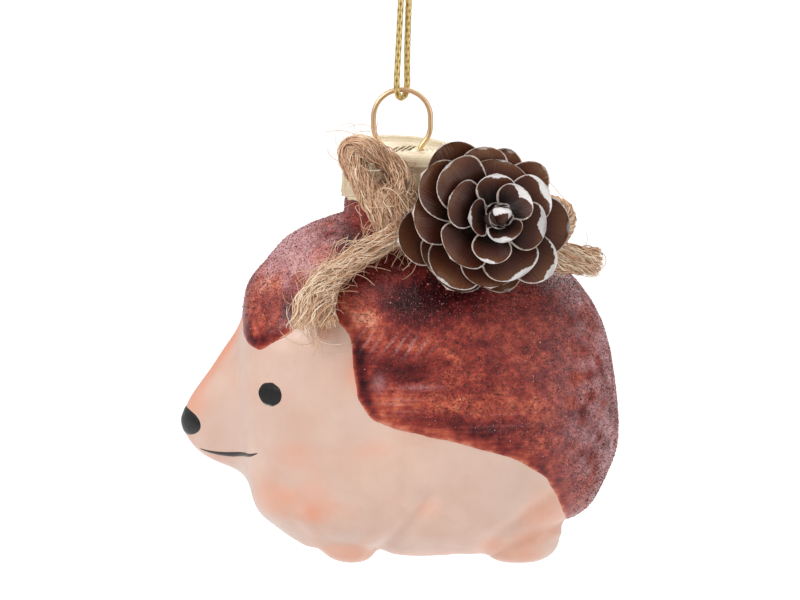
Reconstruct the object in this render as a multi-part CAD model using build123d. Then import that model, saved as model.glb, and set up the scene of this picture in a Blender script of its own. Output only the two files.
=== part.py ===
from build123d import *
import math
import os

# A glass hedgehog ornament that hangs on a gold cord. It faces -X, +Z is up.
# The origin is the hanging point, under the knot and between the two strands.

# Hanging cord and its knot
CORD_DIAMETER = 1.35
CORD_DROP = 25.5
CORD_SHIFT = 0.9
CORD_ROUTE = [(-0.7, -0.1, 1.2), (-2.1, -1.5, -26.95), (0.2, 1.5, -26.95), (0.8, 0.1, 1.2)]
KNOT_WIDTH = 4.2
KNOT_HEIGHT = 4.6
KNOT_TAIL = 4.5
KNOT_TAIL_SPREAD = 24.0

# Wire ring and its spring legs
WIRE_DIAMETER = 1.05
RING_WIDTH = 12.7
RING_RISE = 12.8
RING_SIDE = 3.3
RING_SIDE_BEND = 5.0
RING_CROWN_SHARE = 0.98
LEG_SPACING = 7.6
LEG_STANDS = 0.9
LEG_BEND = 1.2
LEG_LENGTH = 13.0
LEG_PASSES = 1.5
LEG_KNEE = 6.0
LEG_KNEE_BEND = 2.0
LEG_CLEARANCE = 0.4

# Pressed cap
CAP_DIAMETER = 24.4
CAP_HEIGHT = 10.8
CAP_SHEET = 0.3
CAP_LEAN = 3.5
RECESS_DEPTH = 1.3
RECESS_DIAMETER = 17.6
RIM_ROUND = 0.9
RIM_INNER_SLOPE = 0.9
BEAD_DEPTH = 3.4
BEAD_RADIUS = 0.4
SCALLOPS = 22
SCALLOP_RADIUS = 1.25
SCALLOP_CENTRE_BELOW = 0.35
FLUTES = 44
FLUTE_RADIUS = 0.5
FLUTE_DEPTH = 0.12
HOLE_CLEARANCE = 0.42
VENT_LENGTH = 5.4
VENT_WIDTH = 1.1
VENT_PITCH = 1.9
VENT_COUNT = 3
VENT_ANGLE = 58.0
VENT_FORWARD = 0.3

# Glass body: outline shares run from the nose to the rump and from the feet to the crown
BODY_LENGTH = 90.0
BODY_WIDTH = 58.0
BODY_HEIGHT = 71.5
GLASS_WALL = 1.0
NECK_DIAMETER = 22.7
NECK_LENGTH = 11.6
NECK_ROOT = 7.0
NECK_LIP = 0.35
NECK_PLACE_SHARE = 0.508
NECK_SEAT_GAP = 1.05
WAIST_SHARE = 0.45
BACK_POWER = 2.05
SECTION_POINTS = 12
# low end (x, z), high end (x, z), half width and squareness below, nose first
SECTION_SHARES = (
    (0.000, 0.365, 0.000, 0.385, 0.025, 2.0),
    (0.015, 0.321, 0.015, 0.432, 0.124, 2.0),
    (0.042, 0.283, 0.042, 0.483, 0.220, 2.0),
    (0.081, 0.253, 0.072, 0.535, 0.315, 2.0),
    (0.127, 0.231, 0.102, 0.598, 0.410, 2.1),
    (0.157, 0.196, 0.132, 0.665, 0.510, 2.2),
    (0.168, 0.128, 0.143, 0.738, 0.615, 2.3),
    (0.196, 0.078, 0.160, 0.808, 0.715, 2.5),
    (0.247, 0.044, 0.205, 0.872, 0.810, 2.7),
    (0.320, 0.022, 0.281, 0.935, 0.900, 2.9),
    (0.412, 0.013, 0.389, 0.982, 0.965, 3.0),
    (0.526, 0.010, 0.515, 1.000, 1.000, 3.0),
    (0.641, 0.012, 0.641, 0.979, 1.000, 3.0),
    (0.744, 0.018, 0.760, 0.914, 0.950, 2.9),
    (0.825, 0.036, 0.866, 0.830, 0.840, 2.7),
    (0.880, 0.076, 0.944, 0.714, 0.690, 2.5),
    (0.925, 0.118, 0.978, 0.597, 0.530, 2.2),
    (0.962, 0.186, 0.994, 0.480, 0.350, 2.0),
    (0.986, 0.250, 1.001, 0.405, 0.185, 2.0),
    (1.003, 0.320, 1.003, 0.340, 0.025, 2.0),
)
# the hollow is the same form drawn in towards this point
HOLLOW_SHARES = (0.56, 0.46)

# Paws blown into the glass on both sides: places in shares, sizes as half axes
FRONT_PAW_SHARES = (0.392, 0.43)
FRONT_PAW_LENGTH = 14.4
FRONT_PAW_WIDTH = 15.0
FRONT_PAW_HEIGHT = 11.0
REAR_PAW_SHARES = (0.795, 0.43)
REAR_PAW_LENGTH = 17.0
REAR_PAW_WIDTH = 15.0
REAR_PAW_HEIGHT = 10.6

# Bead coat: its lower edge in side view, from the brow to the rump
COAT_THICKNESS = 0.4
COAT_NECK_GAP = 1.3
COAT_EDGE_SHARES = (
    (0.138, 0.670), (0.147, 0.624), (0.181, 0.611), (0.219, 0.643), (0.246, 0.666),
    (0.270, 0.693), (0.306, 0.728), (0.342, 0.745), (0.374, 0.721), (0.394, 0.687),
    (0.398, 0.644), (0.400, 0.610), (0.408, 0.538), (0.417, 0.511), (0.437, 0.474),
    (0.459, 0.456), (0.506, 0.438), (0.572, 0.418), (0.619, 0.405), (0.663, 0.388),
    (0.710, 0.372), (0.755, 0.352), (0.792, 0.324), (0.826, 0.290), (0.850, 0.242),
    (0.868, 0.182), (0.888, 0.106),
)

# Enamel dabs of the face
ENAMEL_THICKNESS = 0.35
EYE_DIAMETER = 4.6
EYE_SHARES = (0.209, 0.513)
NOSE_PATCH_DIAMETER = 6.2
NOSE_PATCH_SHARES = (0.010, 0.378)
MOUTH_SHARES = (
    (0.040, 0.283), (0.085, 0.276), (0.130, 0.276), (0.166, 0.284),
    (0.150, 0.269), (0.125, 0.262), (0.085, 0.268),
)

# Jute bow: routes of its four ends and loops
JUTE_DIAMETER = 5.4
JUTE_GAP = 0.3
BOW_KNOT_WIDTH = 9.6
BOW_KNOT_DEPTH = 8.4
BOW_KNOT_HEIGHT = 10.0
BOW_KNOT_RIGHT = 0.6
BOW_KNOT_DROP = 1.8
LOOP_LEFT_ROUTE = [(-2.9, -18.5, -49.5), (-11.7, -14.5, -37.7), (-6.3, -15.6, -33.6), (2.3, -19.0, -45.8)]
LOOP_RIGHT_ROUTE = [(2.5, -15.6, -51.6), (32.5, -14.4, -52.4), (33.0, -7.6, -47.8), (2.5, -18.4, -44.4)]
TAIL_LEFT_ROUTE = [
    (-2.0, -20.0, -51.6), (-11.0, -18.9, -55.4), (-17.0, -21.6, -60.2), (-18.8, -26.2, -66.3),
]
TAIL_RIGHT_ROUTE = [(1.5, -19.2, -54.2), (12.0, -19.0, -54.8), (24.0, -17.8, -56.2), (37.0, -14.8, -58.6)]
BRUSH_LENGTH = 8.0
BRUSH_DIAMETER = 8.6
CUT_END_DIAMETER = 6.6
CUT_END_LENGTH = 3.0

# Pine cone, seated on its glue in front of the neck and to its right
CONE_RIGHT = 14.9
CONE_FRONT = 21.2
CONE_BELOW_RIM = 12.6
CONE_YAW = 14.0
CONE_PITCH = 14.0
CONE_CORE_DIAMETER = 5.2
CONE_CORE_LENGTH = 16.5
CONE_STEM_LENGTH = 1.0
CONE_BUD_LENGTH = 4.6
CONE_BUD_DIAMETER = 3.2
CONE_RADIUS = 17.6
SCALE_FIRST = 1.0
SCALE_LAST_GAP = 1.2
SCALE_THICKNESS = 0.75
SCALE_ROOT = 2.0
SCALE_CUP_RADIUS = 60.0
SCALE_LEAN_FIRST = 3.0
SCALE_LEAN_LAST = 58.0
SCALE_LEAN_SHARE = 4.0
SCALE_WIDEST_SHARE = 0.6
SCALE_GROUPS = ("cone_scales_base", "cone_scales_lower", "cone_scales_middle",
                "cone_scales_upper", "cone_scales_tip")
# Each scale's turn about the axis, its reach and its width, as shares of a full turn and of CONE_RADIUS
SCALE_SHARES = (
    (0.53, 0.98, 0.64), (0.80, 0.82, 0.52), (0.17, 0.88, 0.50), (0.60, 0.82, 0.56),
    (0.93, 0.84, 0.52), (0.68, 0.88, 0.60), (0.03, 0.80, 0.50),
    (0.30, 0.97, 0.66), (0.98, 0.97, 0.60), (0.65, 0.84, 0.64), (0.10, 0.92, 0.52),
    (0.75, 0.77, 0.66), (0.23, 0.84, 0.58), (0.89, 0.94, 0.54),
    (0.48, 0.90, 0.68), (0.19, 0.70, 0.64), (0.82, 0.73, 0.62), (0.38, 0.96, 0.66),
    (0.05, 0.80, 0.64), (0.62, 0.70, 0.64), (0.33, 0.73, 0.64),
    (0.95, 0.62, 0.56), (0.42, 0.56, 0.60), (0.74, 0.51, 0.52), (0.23, 0.48, 0.50),
    (0.54, 0.34, 0.42), (0.12, 0.48, 0.46), (0.80, 0.31, 0.38),
    (0.36, 0.24, 0.30), (0.03, 0.23, 0.28), (0.69, 0.22, 0.28), (0.21, 0.21, 0.26),
    (0.56, 0.20, 0.26), (0.89, 0.20, 0.24), (0.25, 0.19, 0.24),
)

# Glue behind the cone, pressed down on to the coat
GLUE_WIDTH = 11.0
GLUE_DEPTH = 13.0
GLUE_HEIGHT = 13.0
GLUE_DROP = 3.0
GLUE_BEHIND = 4.2

# Cutting tools run past the faces that they cut
OVERRUN = 2.0

# Bends in the twine take this share of the shorter run beside them
BEND_SHARE = 0.45
GAP_STEPS = 160
STANDING = (Align.CENTER, Align.CENTER, Align.MIN)

# Places worked out from the sizes above
wire_r = WIRE_DIAMETER / 2
cord_r = CORD_DIAMETER / 2
jute_r = JUTE_DIAMETER / 2
ring_r = (RING_WIDTH - WIRE_DIAMETER) / 2
cap_r = CAP_DIAMETER / 2
neck_r = NECK_DIAMETER / 2
bore_r = neck_r - GLASS_WALL
axis_x = -CORD_SHIFT
ring_z = -CORD_DROP
recess_z = ring_z - RING_RISE
rim_z = recess_z + RECESS_DEPTH
neck_top_z = rim_z - CAP_SHEET - NECK_SEAT_GAP
crown_z = neck_top_z - NECK_LENGTH
feet_z = crown_z - BODY_HEIGHT
nose_x = axis_x - NECK_PLACE_SHARE * BODY_LENGTH
skirt_z = rim_z - CAP_HEIGHT


def side_point(shares):
    """The point of the side view that a pair of shares of the body names."""
    return Vector(nose_x + shares[0] * BODY_LENGTH, 0, feet_z + shares[1] * BODY_HEIGHT)


def side_prism(points):
    """A prism across the whole width over an outline in the side view."""
    face = make_face(Polyline(*points, close=True))
    reach = BODY_WIDTH / 2 + OVERRUN
    return extrude(face, reach, dir=(0, 1, 0), both=True)


def ellipsoid(length, width, height):
    """An ellipsoid of three given sizes, about its own centre."""
    return scale(Sphere(1), by=(length / 2, width / 2, height / 2))


def without(shape, others):
    """A shape with the space that other shapes take cut away."""
    for other in others:
        shape = shape - other
    return shape


def corner_radii(points):
    """The largest gentle radius at each corner of a route."""
    radii = []
    for before, here, after in zip(points, points[1:], points[2:]):
        into = Vector(here) - Vector(before)
        out = Vector(after) - Vector(here)
        half_turn = math.radians(into.get_angle(out)) / 2
        radii.append(BEND_SHARE * min(into.length, out.length) / math.tan(half_turn))
    return radii


def tube(points, radius, radii=None):
    """A round tube along straight runs that arcs join."""
    path = FilletPolyline(*points, radius=radii or corner_radii(points))
    start = Plane(path @ 0, z_dir=path % 0)
    return sweep(start * Circle(radius), path=path)


def least_gap(points, radius, radii):
    """The least space between stretches of one tube that are far apart along it."""
    path = FilletPolyline(*points, radius=radii)
    step = path.length / GAP_STEPS
    apart = math.ceil(math.pi * max(radii) / step)
    spots = [path @ (i / GAP_STEPS) for i in range(GAP_STEPS + 1)]
    gaps = [
        (a - b).length - 2 * radius
        for i, a in enumerate(spots)
        for b in spots[i + apart:]
    ]
    return min(gaps)


def body_section(shares, growth):
    """One closed egg-shaped section of the body, grown outwards by a skin."""
    low = side_point(shares[0:2])
    high = side_point(shares[2:4])
    up = (high - low).normalized()
    low = low - up * growth
    high = high + up * growth
    middle = low + (high - low) * WAIST_SHARE
    half_width = shares[4] * BODY_WIDTH / 2 + growth
    points = []
    for i in range(SECTION_POINTS):
        turn = 2 * math.pi * i / SECTION_POINTS
        below = math.cos(turn) > 0
        power = shares[5] if below else BACK_POWER
        along = abs(math.cos(turn)) ** (2 / power)
        across = abs(math.sin(turn)) ** (2 / power) * math.copysign(1, math.sin(turn))
        end = low if below else high
        points.append(middle + (end - middle) * along + Vector(0, half_width * across, 0))
    return make_face(Spline(*points, periodic=True))


def body_form(growth):
    """The body as a solid, grown outwards by a skin."""
    faces = [body_section(shares, growth) for shares in SECTION_SHARES[1:-1]]
    nose = Pos(-growth, 0, 0) * body_section(SECTION_SHARES[0], 0)
    rump = Pos(growth, 0, 0) * body_section(SECTION_SHARES[-1], 0)
    return loft([nose] + faces + [rump])


def body_hollow():
    """The space inside the body, one wall in from its outer form."""
    shrink = [1 - 2 * GLASS_WALL / size for size in (BODY_LENGTH, BODY_WIDTH, BODY_HEIGHT)]
    return scale(body_form(0), by=tuple(shrink), about=side_point(HOLLOW_SHARES))


def upright(radius, low, high):
    """A cylinder about the neck's axis, between two heights."""
    return Pos(axis_x, 0, low) * Cylinder(radius, high - low, align=STANDING)


def paw(shares, length, width, height, side):
    """One paw, standing at the level of the feet."""
    place = side_point((shares[0], 0)) + Vector(0, side * shares[1] * BODY_WIDTH / 2, height / 2)
    return Location(place) * ellipsoid(length, width, height)


def glass_outside():
    """The outer form of the glass: body, neck and four paws."""
    form = body_form(0) + upright(neck_r, crown_z - NECK_ROOT, neck_top_z)
    for side in (-1, 1):
        form += paw(FRONT_PAW_SHARES, FRONT_PAW_LENGTH, FRONT_PAW_WIDTH, FRONT_PAW_HEIGHT, side)
        form += paw(REAR_PAW_SHARES, REAR_PAW_LENGTH, REAR_PAW_WIDTH, REAR_PAW_HEIGHT, side)
    return form


def glass_body(outside):
    """The blown glass with its hollow and its open neck."""
    bore = upright(bore_r, crown_z - NECK_ROOT, neck_top_z + OVERRUN)
    glass = outside - body_hollow() - bore
    lip = glass.edges().filter_by(GeomType.CIRCLE).group_by(Axis.Z)[-1]
    return fillet(lip, NECK_LIP)


def coat_outside():
    """The outer form of the coat, were it to cover the whole body and neck."""
    collar = upright(neck_r + COAT_THICKNESS, crown_z - NECK_ROOT, skirt_z - COAT_NECK_GAP)
    return body_form(COAT_THICKNESS) + collar


def bead_coat(outside):
    """The raised coat over back and neck, down to its brushed edge."""
    top = Vector(0, 0, BODY_HEIGHT + NECK_LENGTH)
    edge = [side_point(shares) for shares in COAT_EDGE_SHARES]
    brow = edge[0] - Vector(BODY_LENGTH / 2, 0, 0)
    rump = edge[-1] + Vector(BODY_LENGTH / 2, 0, 0)
    region = side_prism([brow] + edge + [rump, rump + top, brow + top])
    return (coat_outside() & region) - outside


def face_dabs(outside):
    """The enamel eyes, nose and mouth lines, by name."""
    skin = body_form(ENAMEL_THICKNESS) - outside
    corner = (Align.MIN, Align.MAX, Align.MIN)
    half = Box(BODY_LENGTH, BODY_WIDTH, BODY_HEIGHT + NECK_LENGTH, align=corner)
    near = Pos(nose_x - OVERRUN, 0, feet_z) * half
    eye_place = side_point(EYE_SHARES)
    eye = Location(eye_place) * Rot(90, 0, 0) * Cylinder(EYE_DIAMETER / 2, BODY_WIDTH)
    mouth = side_prism([side_point(shares) for shares in MOUTH_SHARES])
    nose = Location(side_point(NOSE_PATCH_SHARES)) * Sphere(NOSE_PATCH_DIAMETER / 2)
    return {
        "eye_left": skin & eye & near,
        "eye_right": (skin & eye) - near,
        "mouth_left": skin & mouth & near,
        "mouth_right": (skin & mouth) - near,
        "nose_tip": skin & nose,
    }


def cap_outline(inset):
    """Half of the cap's section, filled to its axis and moved inwards by an inset."""
    outer = cap_r - inset
    recess = RECESS_DIAMETER / 2 + inset
    floor = rim_z - RECESS_DEPTH - inset
    rim = rim_z - inset
    points = [
        (0, 0, floor),
        (recess, 0, floor),
        (recess + RIM_INNER_SLOPE, 0, rim),
        (outer - RIM_ROUND, 0, rim),
        (outer, 0, rim - RIM_ROUND),
        (outer, 0, skirt_z),
        (0, 0, skirt_z),
    ]
    return make_face(Polyline(*points, close=True))


def crown_cap():
    """The pressed cap: recessed top, rim, bead, fluted skirt, holes and vents."""
    shell = revolve(cap_outline(0), Axis.Z)
    shell += Pos(0, 0, rim_z - BEAD_DEPTH) * Torus(cap_r, BEAD_RADIUS)
    flute_height = CAP_HEIGHT - BEAD_DEPTH - BEAD_RADIUS
    flute_r = cap_r + FLUTE_RADIUS - FLUTE_DEPTH
    flute = Cylinder(FLUTE_RADIUS, flute_height, align=STANDING)
    shell -= [Pos(0, 0, skirt_z) * place * flute for place in PolarLocations(flute_r, FLUTES)]
    notch = Rot(0, 90, 0) * Cylinder(SCALLOP_RADIUS, OVERRUN)
    notch_z = skirt_z - SCALLOP_CENTRE_BELOW
    shell -= [Pos(0, 0, notch_z) * place * notch for place in PolarLocations(cap_r, SCALLOPS)]
    shell -= revolve(cap_outline(CAP_SHEET), Axis.Z)
    hole = Cylinder(wire_r + HOLE_CLEARANCE, RECESS_DEPTH + OVERRUN)
    for side in (-1, 1):
        shell -= Pos(side * LEG_SPACING / 2, 0, recess_z) * hole
    vent = extrude(SlotOverall(VENT_LENGTH, VENT_WIDTH), OVERRUN, both=True)
    for i in range(VENT_COUNT):
        along = (i - (VENT_COUNT - 1) / 2) * VENT_PITCH
        shell -= Pos(along, -VENT_FORWARD, recess_z) * Rot(0, 0, VENT_ANGLE) * vent
    pivot = Pos(0, 0, rim_z - CAP_HEIGHT / 2)
    leaning = pivot * Rot(0, CAP_LEAN, 0) * pivot.inverse() * shell
    return Pos(axis_x, 0, 0) * leaning


def wire_bail():
    """The ring and its two legs, bent from one wire."""
    spread = bore_r - wire_r - LEG_CLEARANCE
    hole_x = LEG_SPACING / 2
    foot_z = recess_z - LEG_LENGTH
    half = [
        (ring_r, ring_z),
        (ring_r, ring_z - ring_r - RING_SIDE),
        (hole_x, recess_z + LEG_STANDS),
        (hole_x, recess_z - LEG_PASSES),
        (spread, recess_z - LEG_KNEE),
        (spread, foot_z),
    ]
    bends = [ring_r * RING_CROWN_SHARE, RING_SIDE_BEND, LEG_BEND, LEG_BEND, LEG_KNEE_BEND]
    left = [(axis_x - x, 0, z) for x, z in reversed(half)]
    right = [(axis_x + x, 0, z) for x, z in half]
    return tube(left + right, wire_r, bends[::-1] + bends)


def cord_knot():
    """The overhand knot with the cord's two cut ends."""
    knot = Pos(0, 0, KNOT_HEIGHT / 2) * ellipsoid(KNOT_WIDTH, KNOT_WIDTH, KNOT_HEIGHT)
    stub = Cylinder(cord_r, KNOT_TAIL + KNOT_HEIGHT / 2, align=STANDING)
    for side in (-1, 1):
        knot += Pos(0, 0, KNOT_HEIGHT / 2) * Rot(0, side * KNOT_TAIL_SPREAD, 0) * stub
    return knot


def bow_knot():
    """The knot of the bow, in front of the neck under the cap."""
    place = Pos(axis_x + BOW_KNOT_RIGHT, -cap_r - JUTE_GAP - BOW_KNOT_DEPTH / 2, skirt_z - BOW_KNOT_DROP)
    return place * ellipsoid(BOW_KNOT_WIDTH, BOW_KNOT_DEPTH, BOW_KNOT_HEIGHT)


def flared_end(route, start_r, end_r, length):
    """A bundle of fibres that widens past the last point of a route."""
    last = Vector(route[-1])
    along = last - Vector(route[-2])
    return Plane(last, z_dir=along) * Cone(start_r, end_r, length, align=STANDING)


def core_radius(z):
    """The cone core's radius at a height: it narrows to the bud."""
    wide, narrow = CONE_CORE_DIAMETER / 2, CONE_BUD_DIAMETER / 2
    return wide + (narrow - wide) * z / CONE_CORE_LENGTH


def cone_scale(index):
    """One woody scale: a petal cut from a cupped sheet of revolution."""
    turn, far, width = SCALE_SHARES[index]
    share = index / (len(SCALE_SHARES) - 1)
    root_z = SCALE_FIRST + share * (CONE_CORE_LENGTH - SCALE_FIRST - SCALE_LAST_GAP)
    root_r = core_radius(root_z)
    lean = SCALE_LEAN_FIRST + (SCALE_LEAN_LAST - SCALE_LEAN_FIRST) * share ** SCALE_LEAN_SHARE
    slope = math.tan(math.radians(lean))
    run = far * CONE_RADIUS - root_r
    inner, middle, outer = (
        Vector(root_r + x, 0, root_z + x * slope + x * x / (2 * SCALE_CUP_RADIUS))
        for x in (0, run / 2, run))
    thick = Vector(0, 0, SCALE_THICKNESS)
    above = Vector(core_radius(root_z + SCALE_THICKNESS), 0, root_z + SCALE_THICKNESS)
    outline = [
        ThreePointArc(inner, middle, outer),
        Line(outer, outer + thick),
        ThreePointArc(outer + thick, middle + thick, above),
        Line(above, inner),
    ]
    sheet = Rot(0, 0, 180) * revolve(make_face(outline), Axis.Z)
    half_width = width * CONE_RADIUS / 2
    widest_x = root_r + SCALE_WIDEST_SHARE * run
    petal = Pos(widest_x, 0) * Ellipse(root_r + run - widest_x, half_width)
    petal += make_face(Polyline(
        (0, -SCALE_ROOT / 2), (widest_x, -half_width), (widest_x, half_width), (0, SCALE_ROOT / 2),
        close=True,
    ))
    height = CONE_CORE_LENGTH + CONE_RADIUS
    prism = Pos(0, 0, -height) * extrude(petal, 3 * height)
    return Rot(0, 0, 360 * turn) * (sheet & prism)


def pine_cone():
    """The cone's core, bud and scales in the cone's own frame, by name."""
    core_r, bud_r = core_radius(0), core_radius(CONE_CORE_LENGTH)
    core = Cone(core_r, bud_r, CONE_CORE_LENGTH, align=STANDING)
    core += Pos(0, 0, -CONE_STEM_LENGTH) * Cylinder(core_r / 2, CONE_STEM_LENGTH, align=STANDING)
    bud = Pos(0, 0, CONE_CORE_LENGTH) * Cone(bud_r, wire_r, CONE_BUD_LENGTH, align=STANDING)
    nodes = {"cone_core": core, "cone_bud": bud}
    scales = [cone_scale(i) for i in range(len(SCALE_SHARES))]
    size = math.ceil(len(scales) / len(SCALE_GROUPS))
    for i, name in enumerate(SCALE_GROUPS):
        group = scales[i * size:(i + 1) * size]
        nodes[name] = Compound(children=[solid for scale_form in group for solid in scale_form.solids()])
    return nodes


def cone_glue(seat, aim, neighbours):
    """The blob behind the cone's base, pressed against all that it touches."""
    glue = seat * Pos(0, GLUE_BEHIND, -GLUE_DROP) * ellipsoid(GLUE_WIDTH, GLUE_DEPTH, GLUE_HEIGHT)
    glue -= aim * Box(GLUE_WIDTH * 2, GLUE_HEIGHT * 2, GLUE_DEPTH * 2, align=STANDING)
    glue = without(glue, neighbours + [coat_outside()])
    return glue.solids().sort_by(SortBy.VOLUME)[-1]


def write(name, shape):
    """One STEP file for each node."""
    os.makedirs("parts", exist_ok=True)
    export_step(shape, os.path.join("parts", name + ".step"))


def main():
    """Build every node in order, then write them all."""
    outside = glass_outside()
    nodes = {"glass_body": glass_body(outside), "bead_coat": bead_coat(outside)}
    nodes.update(face_dabs(outside))
    nodes["crown_cap"] = crown_cap()
    nodes["wire_bail"] = wire_bail()
    nodes["cord_knot"] = cord_knot()
    half_turn = (Vector(CORD_ROUTE[2]) - Vector(CORD_ROUTE[1])).length / 2 * RING_CROWN_SHARE
    nodes["hanging_cord"] = tube(CORD_ROUTE, cord_r, [half_turn, half_turn]) - nodes["cord_knot"]
    print("cord radii", [round(r, 2) for r in (half_turn, half_turn)])

    bow = {"bow_knot": bow_knot()}
    for name, route in (("bow_loop_left", LOOP_LEFT_ROUTE), ("bow_loop_right", LOOP_RIGHT_ROUTE)):
        radii = corner_radii(route)
        gap = least_gap(route, jute_r, radii)
        print(name, "radii", [round(r, 2) for r in radii], "gap", round(gap, 2))
        bow[name] = tube(route, jute_r, radii)
    for name, route, end_r, length in (
        ("bow_tail_left", TAIL_LEFT_ROUTE, BRUSH_DIAMETER / 2, BRUSH_LENGTH),
        ("bow_tail_right", TAIL_RIGHT_ROUTE, CUT_END_DIAMETER / 2, CUT_END_LENGTH),
    ):
        print(name, "radii", [round(r, 2) for r in corner_radii(route)])
        bow[name] = tube(route, jute_r) + flared_end(route, jute_r, end_r, length)
    for i, name in enumerate(bow):
        nodes[name] = without(bow[name], list(bow.values())[:i])

    seat = Pos(axis_x + CONE_RIGHT, -CONE_FRONT, rim_z - CONE_BELOW_RIM)
    aim = seat * Rot(0, 0, CONE_YAW) * Rot(90 - CONE_PITCH, 0, 0)
    for name, shape in pine_cone().items():
        nodes[name] = aim * shape
    nodes["cone_glue"] = cone_glue(seat, aim, list(bow.values()) + [nodes["cone_core"]])

    for name, shape in nodes.items():
        write(name, shape)


main()
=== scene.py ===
import itertools
import logging
import math
from dataclasses import dataclass
from enum import Enum

import bmesh
import bpy
import numpy as np
from mathutils import Euler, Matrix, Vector
from mathutils.bvhtree import BVHTree


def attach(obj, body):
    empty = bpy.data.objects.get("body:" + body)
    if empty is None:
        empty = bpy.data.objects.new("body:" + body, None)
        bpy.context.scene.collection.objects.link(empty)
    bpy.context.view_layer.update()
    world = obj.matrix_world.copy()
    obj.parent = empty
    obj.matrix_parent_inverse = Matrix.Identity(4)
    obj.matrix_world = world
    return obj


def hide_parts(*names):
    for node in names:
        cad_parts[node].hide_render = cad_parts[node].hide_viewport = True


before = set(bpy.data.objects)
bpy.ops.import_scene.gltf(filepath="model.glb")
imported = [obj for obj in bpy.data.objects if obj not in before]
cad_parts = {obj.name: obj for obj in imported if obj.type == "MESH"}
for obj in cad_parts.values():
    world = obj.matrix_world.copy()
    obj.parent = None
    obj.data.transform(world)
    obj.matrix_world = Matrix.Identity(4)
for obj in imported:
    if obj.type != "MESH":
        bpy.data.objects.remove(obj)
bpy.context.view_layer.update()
log = logging.getLogger("ornament")

MM = 0.001

# Places on the ornament, in millimetres in the CAD frame
AXIS_X = -0.9
SKIRT_Z = -47.8
CROWN_Z = -49.95
FEET_Z = -121.45
NOSE_X = -46.62
BODY_LENGTH = 90.0
BODY_HEIGHT = 71.5
NECK_RADIUS = 11.35


class Body(str, Enum):
    """The CAD bodies that pieces ride on."""

    HANGER = "hanger"
    BAIL = "bail"
    CAP = "cap"
    ORNAMENT = "ornament"


def linear(code: str) -> tuple[float, float, float, float]:
    """Turn an sRGB hex colour into the linear values that shaders take.

    Args:
        code: The colour as #RRGGBB.

    Returns:
        Linear red, green, blue and an alpha of 1.
    """
    parts = [int(code[i:i + 2], 16) / 255 for i in (1, 3, 5)]
    red, green, blue = (v / 12.92 if v <= 0.04045 else ((v + 0.055) / 1.055) ** 2.4 for v in parts)
    return red, green, blue, 1.0


def add_node(tree: bpy.types.NodeTree, kind: str, settings: dict | None = None,
             links: dict | None = None) -> bpy.types.Node:
    """Add one shader node with its settings and the sockets that feed it.

    Args:
        tree: The node tree to add to.
        kind: The node's type name, without its first word, ShaderNode.
        settings: Properties or input values by name; "ramp" holds a colour ramp's stops.
        links: Output sockets, or nodes for their first output, by the input that they feed.

    Returns:
        The new node.
    """
    made = tree.nodes.new("ShaderNode" + kind)
    for key, value in (settings or {}).items():
        if key == "ramp":
            stops = made.color_ramp.elements
            while len(stops) < len(value):
                stops.new(0.5)
            for stop, (place, code) in zip(stops, value):
                stop.position = place
                stop.color = linear(code) if isinstance(code, str) else (code, code, code, 1.0)
        elif isinstance(key, str) and hasattr(made, key):
            setattr(made, key, value)
        else:
            made.inputs[key].default_value = value
    for key, source in (links or {}).items():
        socket = source.outputs[0] if isinstance(source, bpy.types.Node) else source
        tree.links.new(socket, made.inputs[key])
    return made


def new_material(name: str, values: dict | None = None
                 ) -> tuple[bpy.types.Material, bpy.types.NodeTree, bpy.types.Node]:
    """Make a node material.

    Args:
        name: What the material is and how it was made.
        values: The fixed values of its main shader, by input name.

    Returns:
        The material, its node tree and its main shader.
    """
    material = bpy.data.materials.new(name)
    material.use_nodes = True
    shader = material.node_tree.nodes["Principled BSDF"]
    for key, value in (values or {}).items():
        shader.inputs[key].default_value = value
    return material, material.node_tree, shader


def lattice_noise(points: np.ndarray, size: float | tuple[float, float, float], seed: int) -> np.ndarray:
    """Smooth noise from -1 to 1 at many points.

    Args:
        points: The points, in millimetres.
        size: The width of one swell, in millimetres, for all axes or each.
        seed: A whole number that picks the pattern.

    Returns:
        One value for each point.
    """
    grid = points / np.array(size)
    cells = np.floor(grid).astype(np.int64)
    part = grid - cells
    part = part * part * (3 - 2 * part)
    total = np.zeros(len(points))
    for corner in itertools.product((0, 1), repeat=3):
        at = cells + np.array(corner)
        key = (at[:, 0] * 73856093) ^ (at[:, 1] * 19349663) ^ (at[:, 2] * 83492791) ^ (seed * 2654435761)
        key = ((key ^ (key >> 13)) * 1274126177) & 0xFFFFFFFF
        key = (key ^ (key >> 16)) & 0xFFFF
        weight = np.prod(np.where(np.array(corner) == 1, part, 1 - part), axis=1)
        total += weight * (key / 32767.5 - 1)
    return total


def smoothstep(low: float, high: float, values: np.ndarray) -> np.ndarray:
    """Ease from 0 to 1.

    Args:
        low: Where the rise starts.
        high: Where it ends.
        values: The values to ease.

    Returns:
        One share for each value.
    """
    share = np.clip((values - low) / (high - low), 0, 1)
    return share * share * (3 - 2 * share)


def run_lengths(line: np.ndarray) -> np.ndarray:
    """How far along a line each of its points lies."""
    return np.concatenate([[0], np.cumsum(np.linalg.norm(np.diff(line, axis=0), axis=1))])


def resample(line: np.ndarray, wanted: np.ndarray) -> np.ndarray:
    """Pick the points of a line that lie at wanted distances along it.

    Args:
        line: Points in order.
        wanted: The distances.

    Returns:
        One point for each distance.
    """
    run = run_lengths(line)
    return np.stack([np.interp(wanted, run, column) for column in line.T], axis=1)


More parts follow.
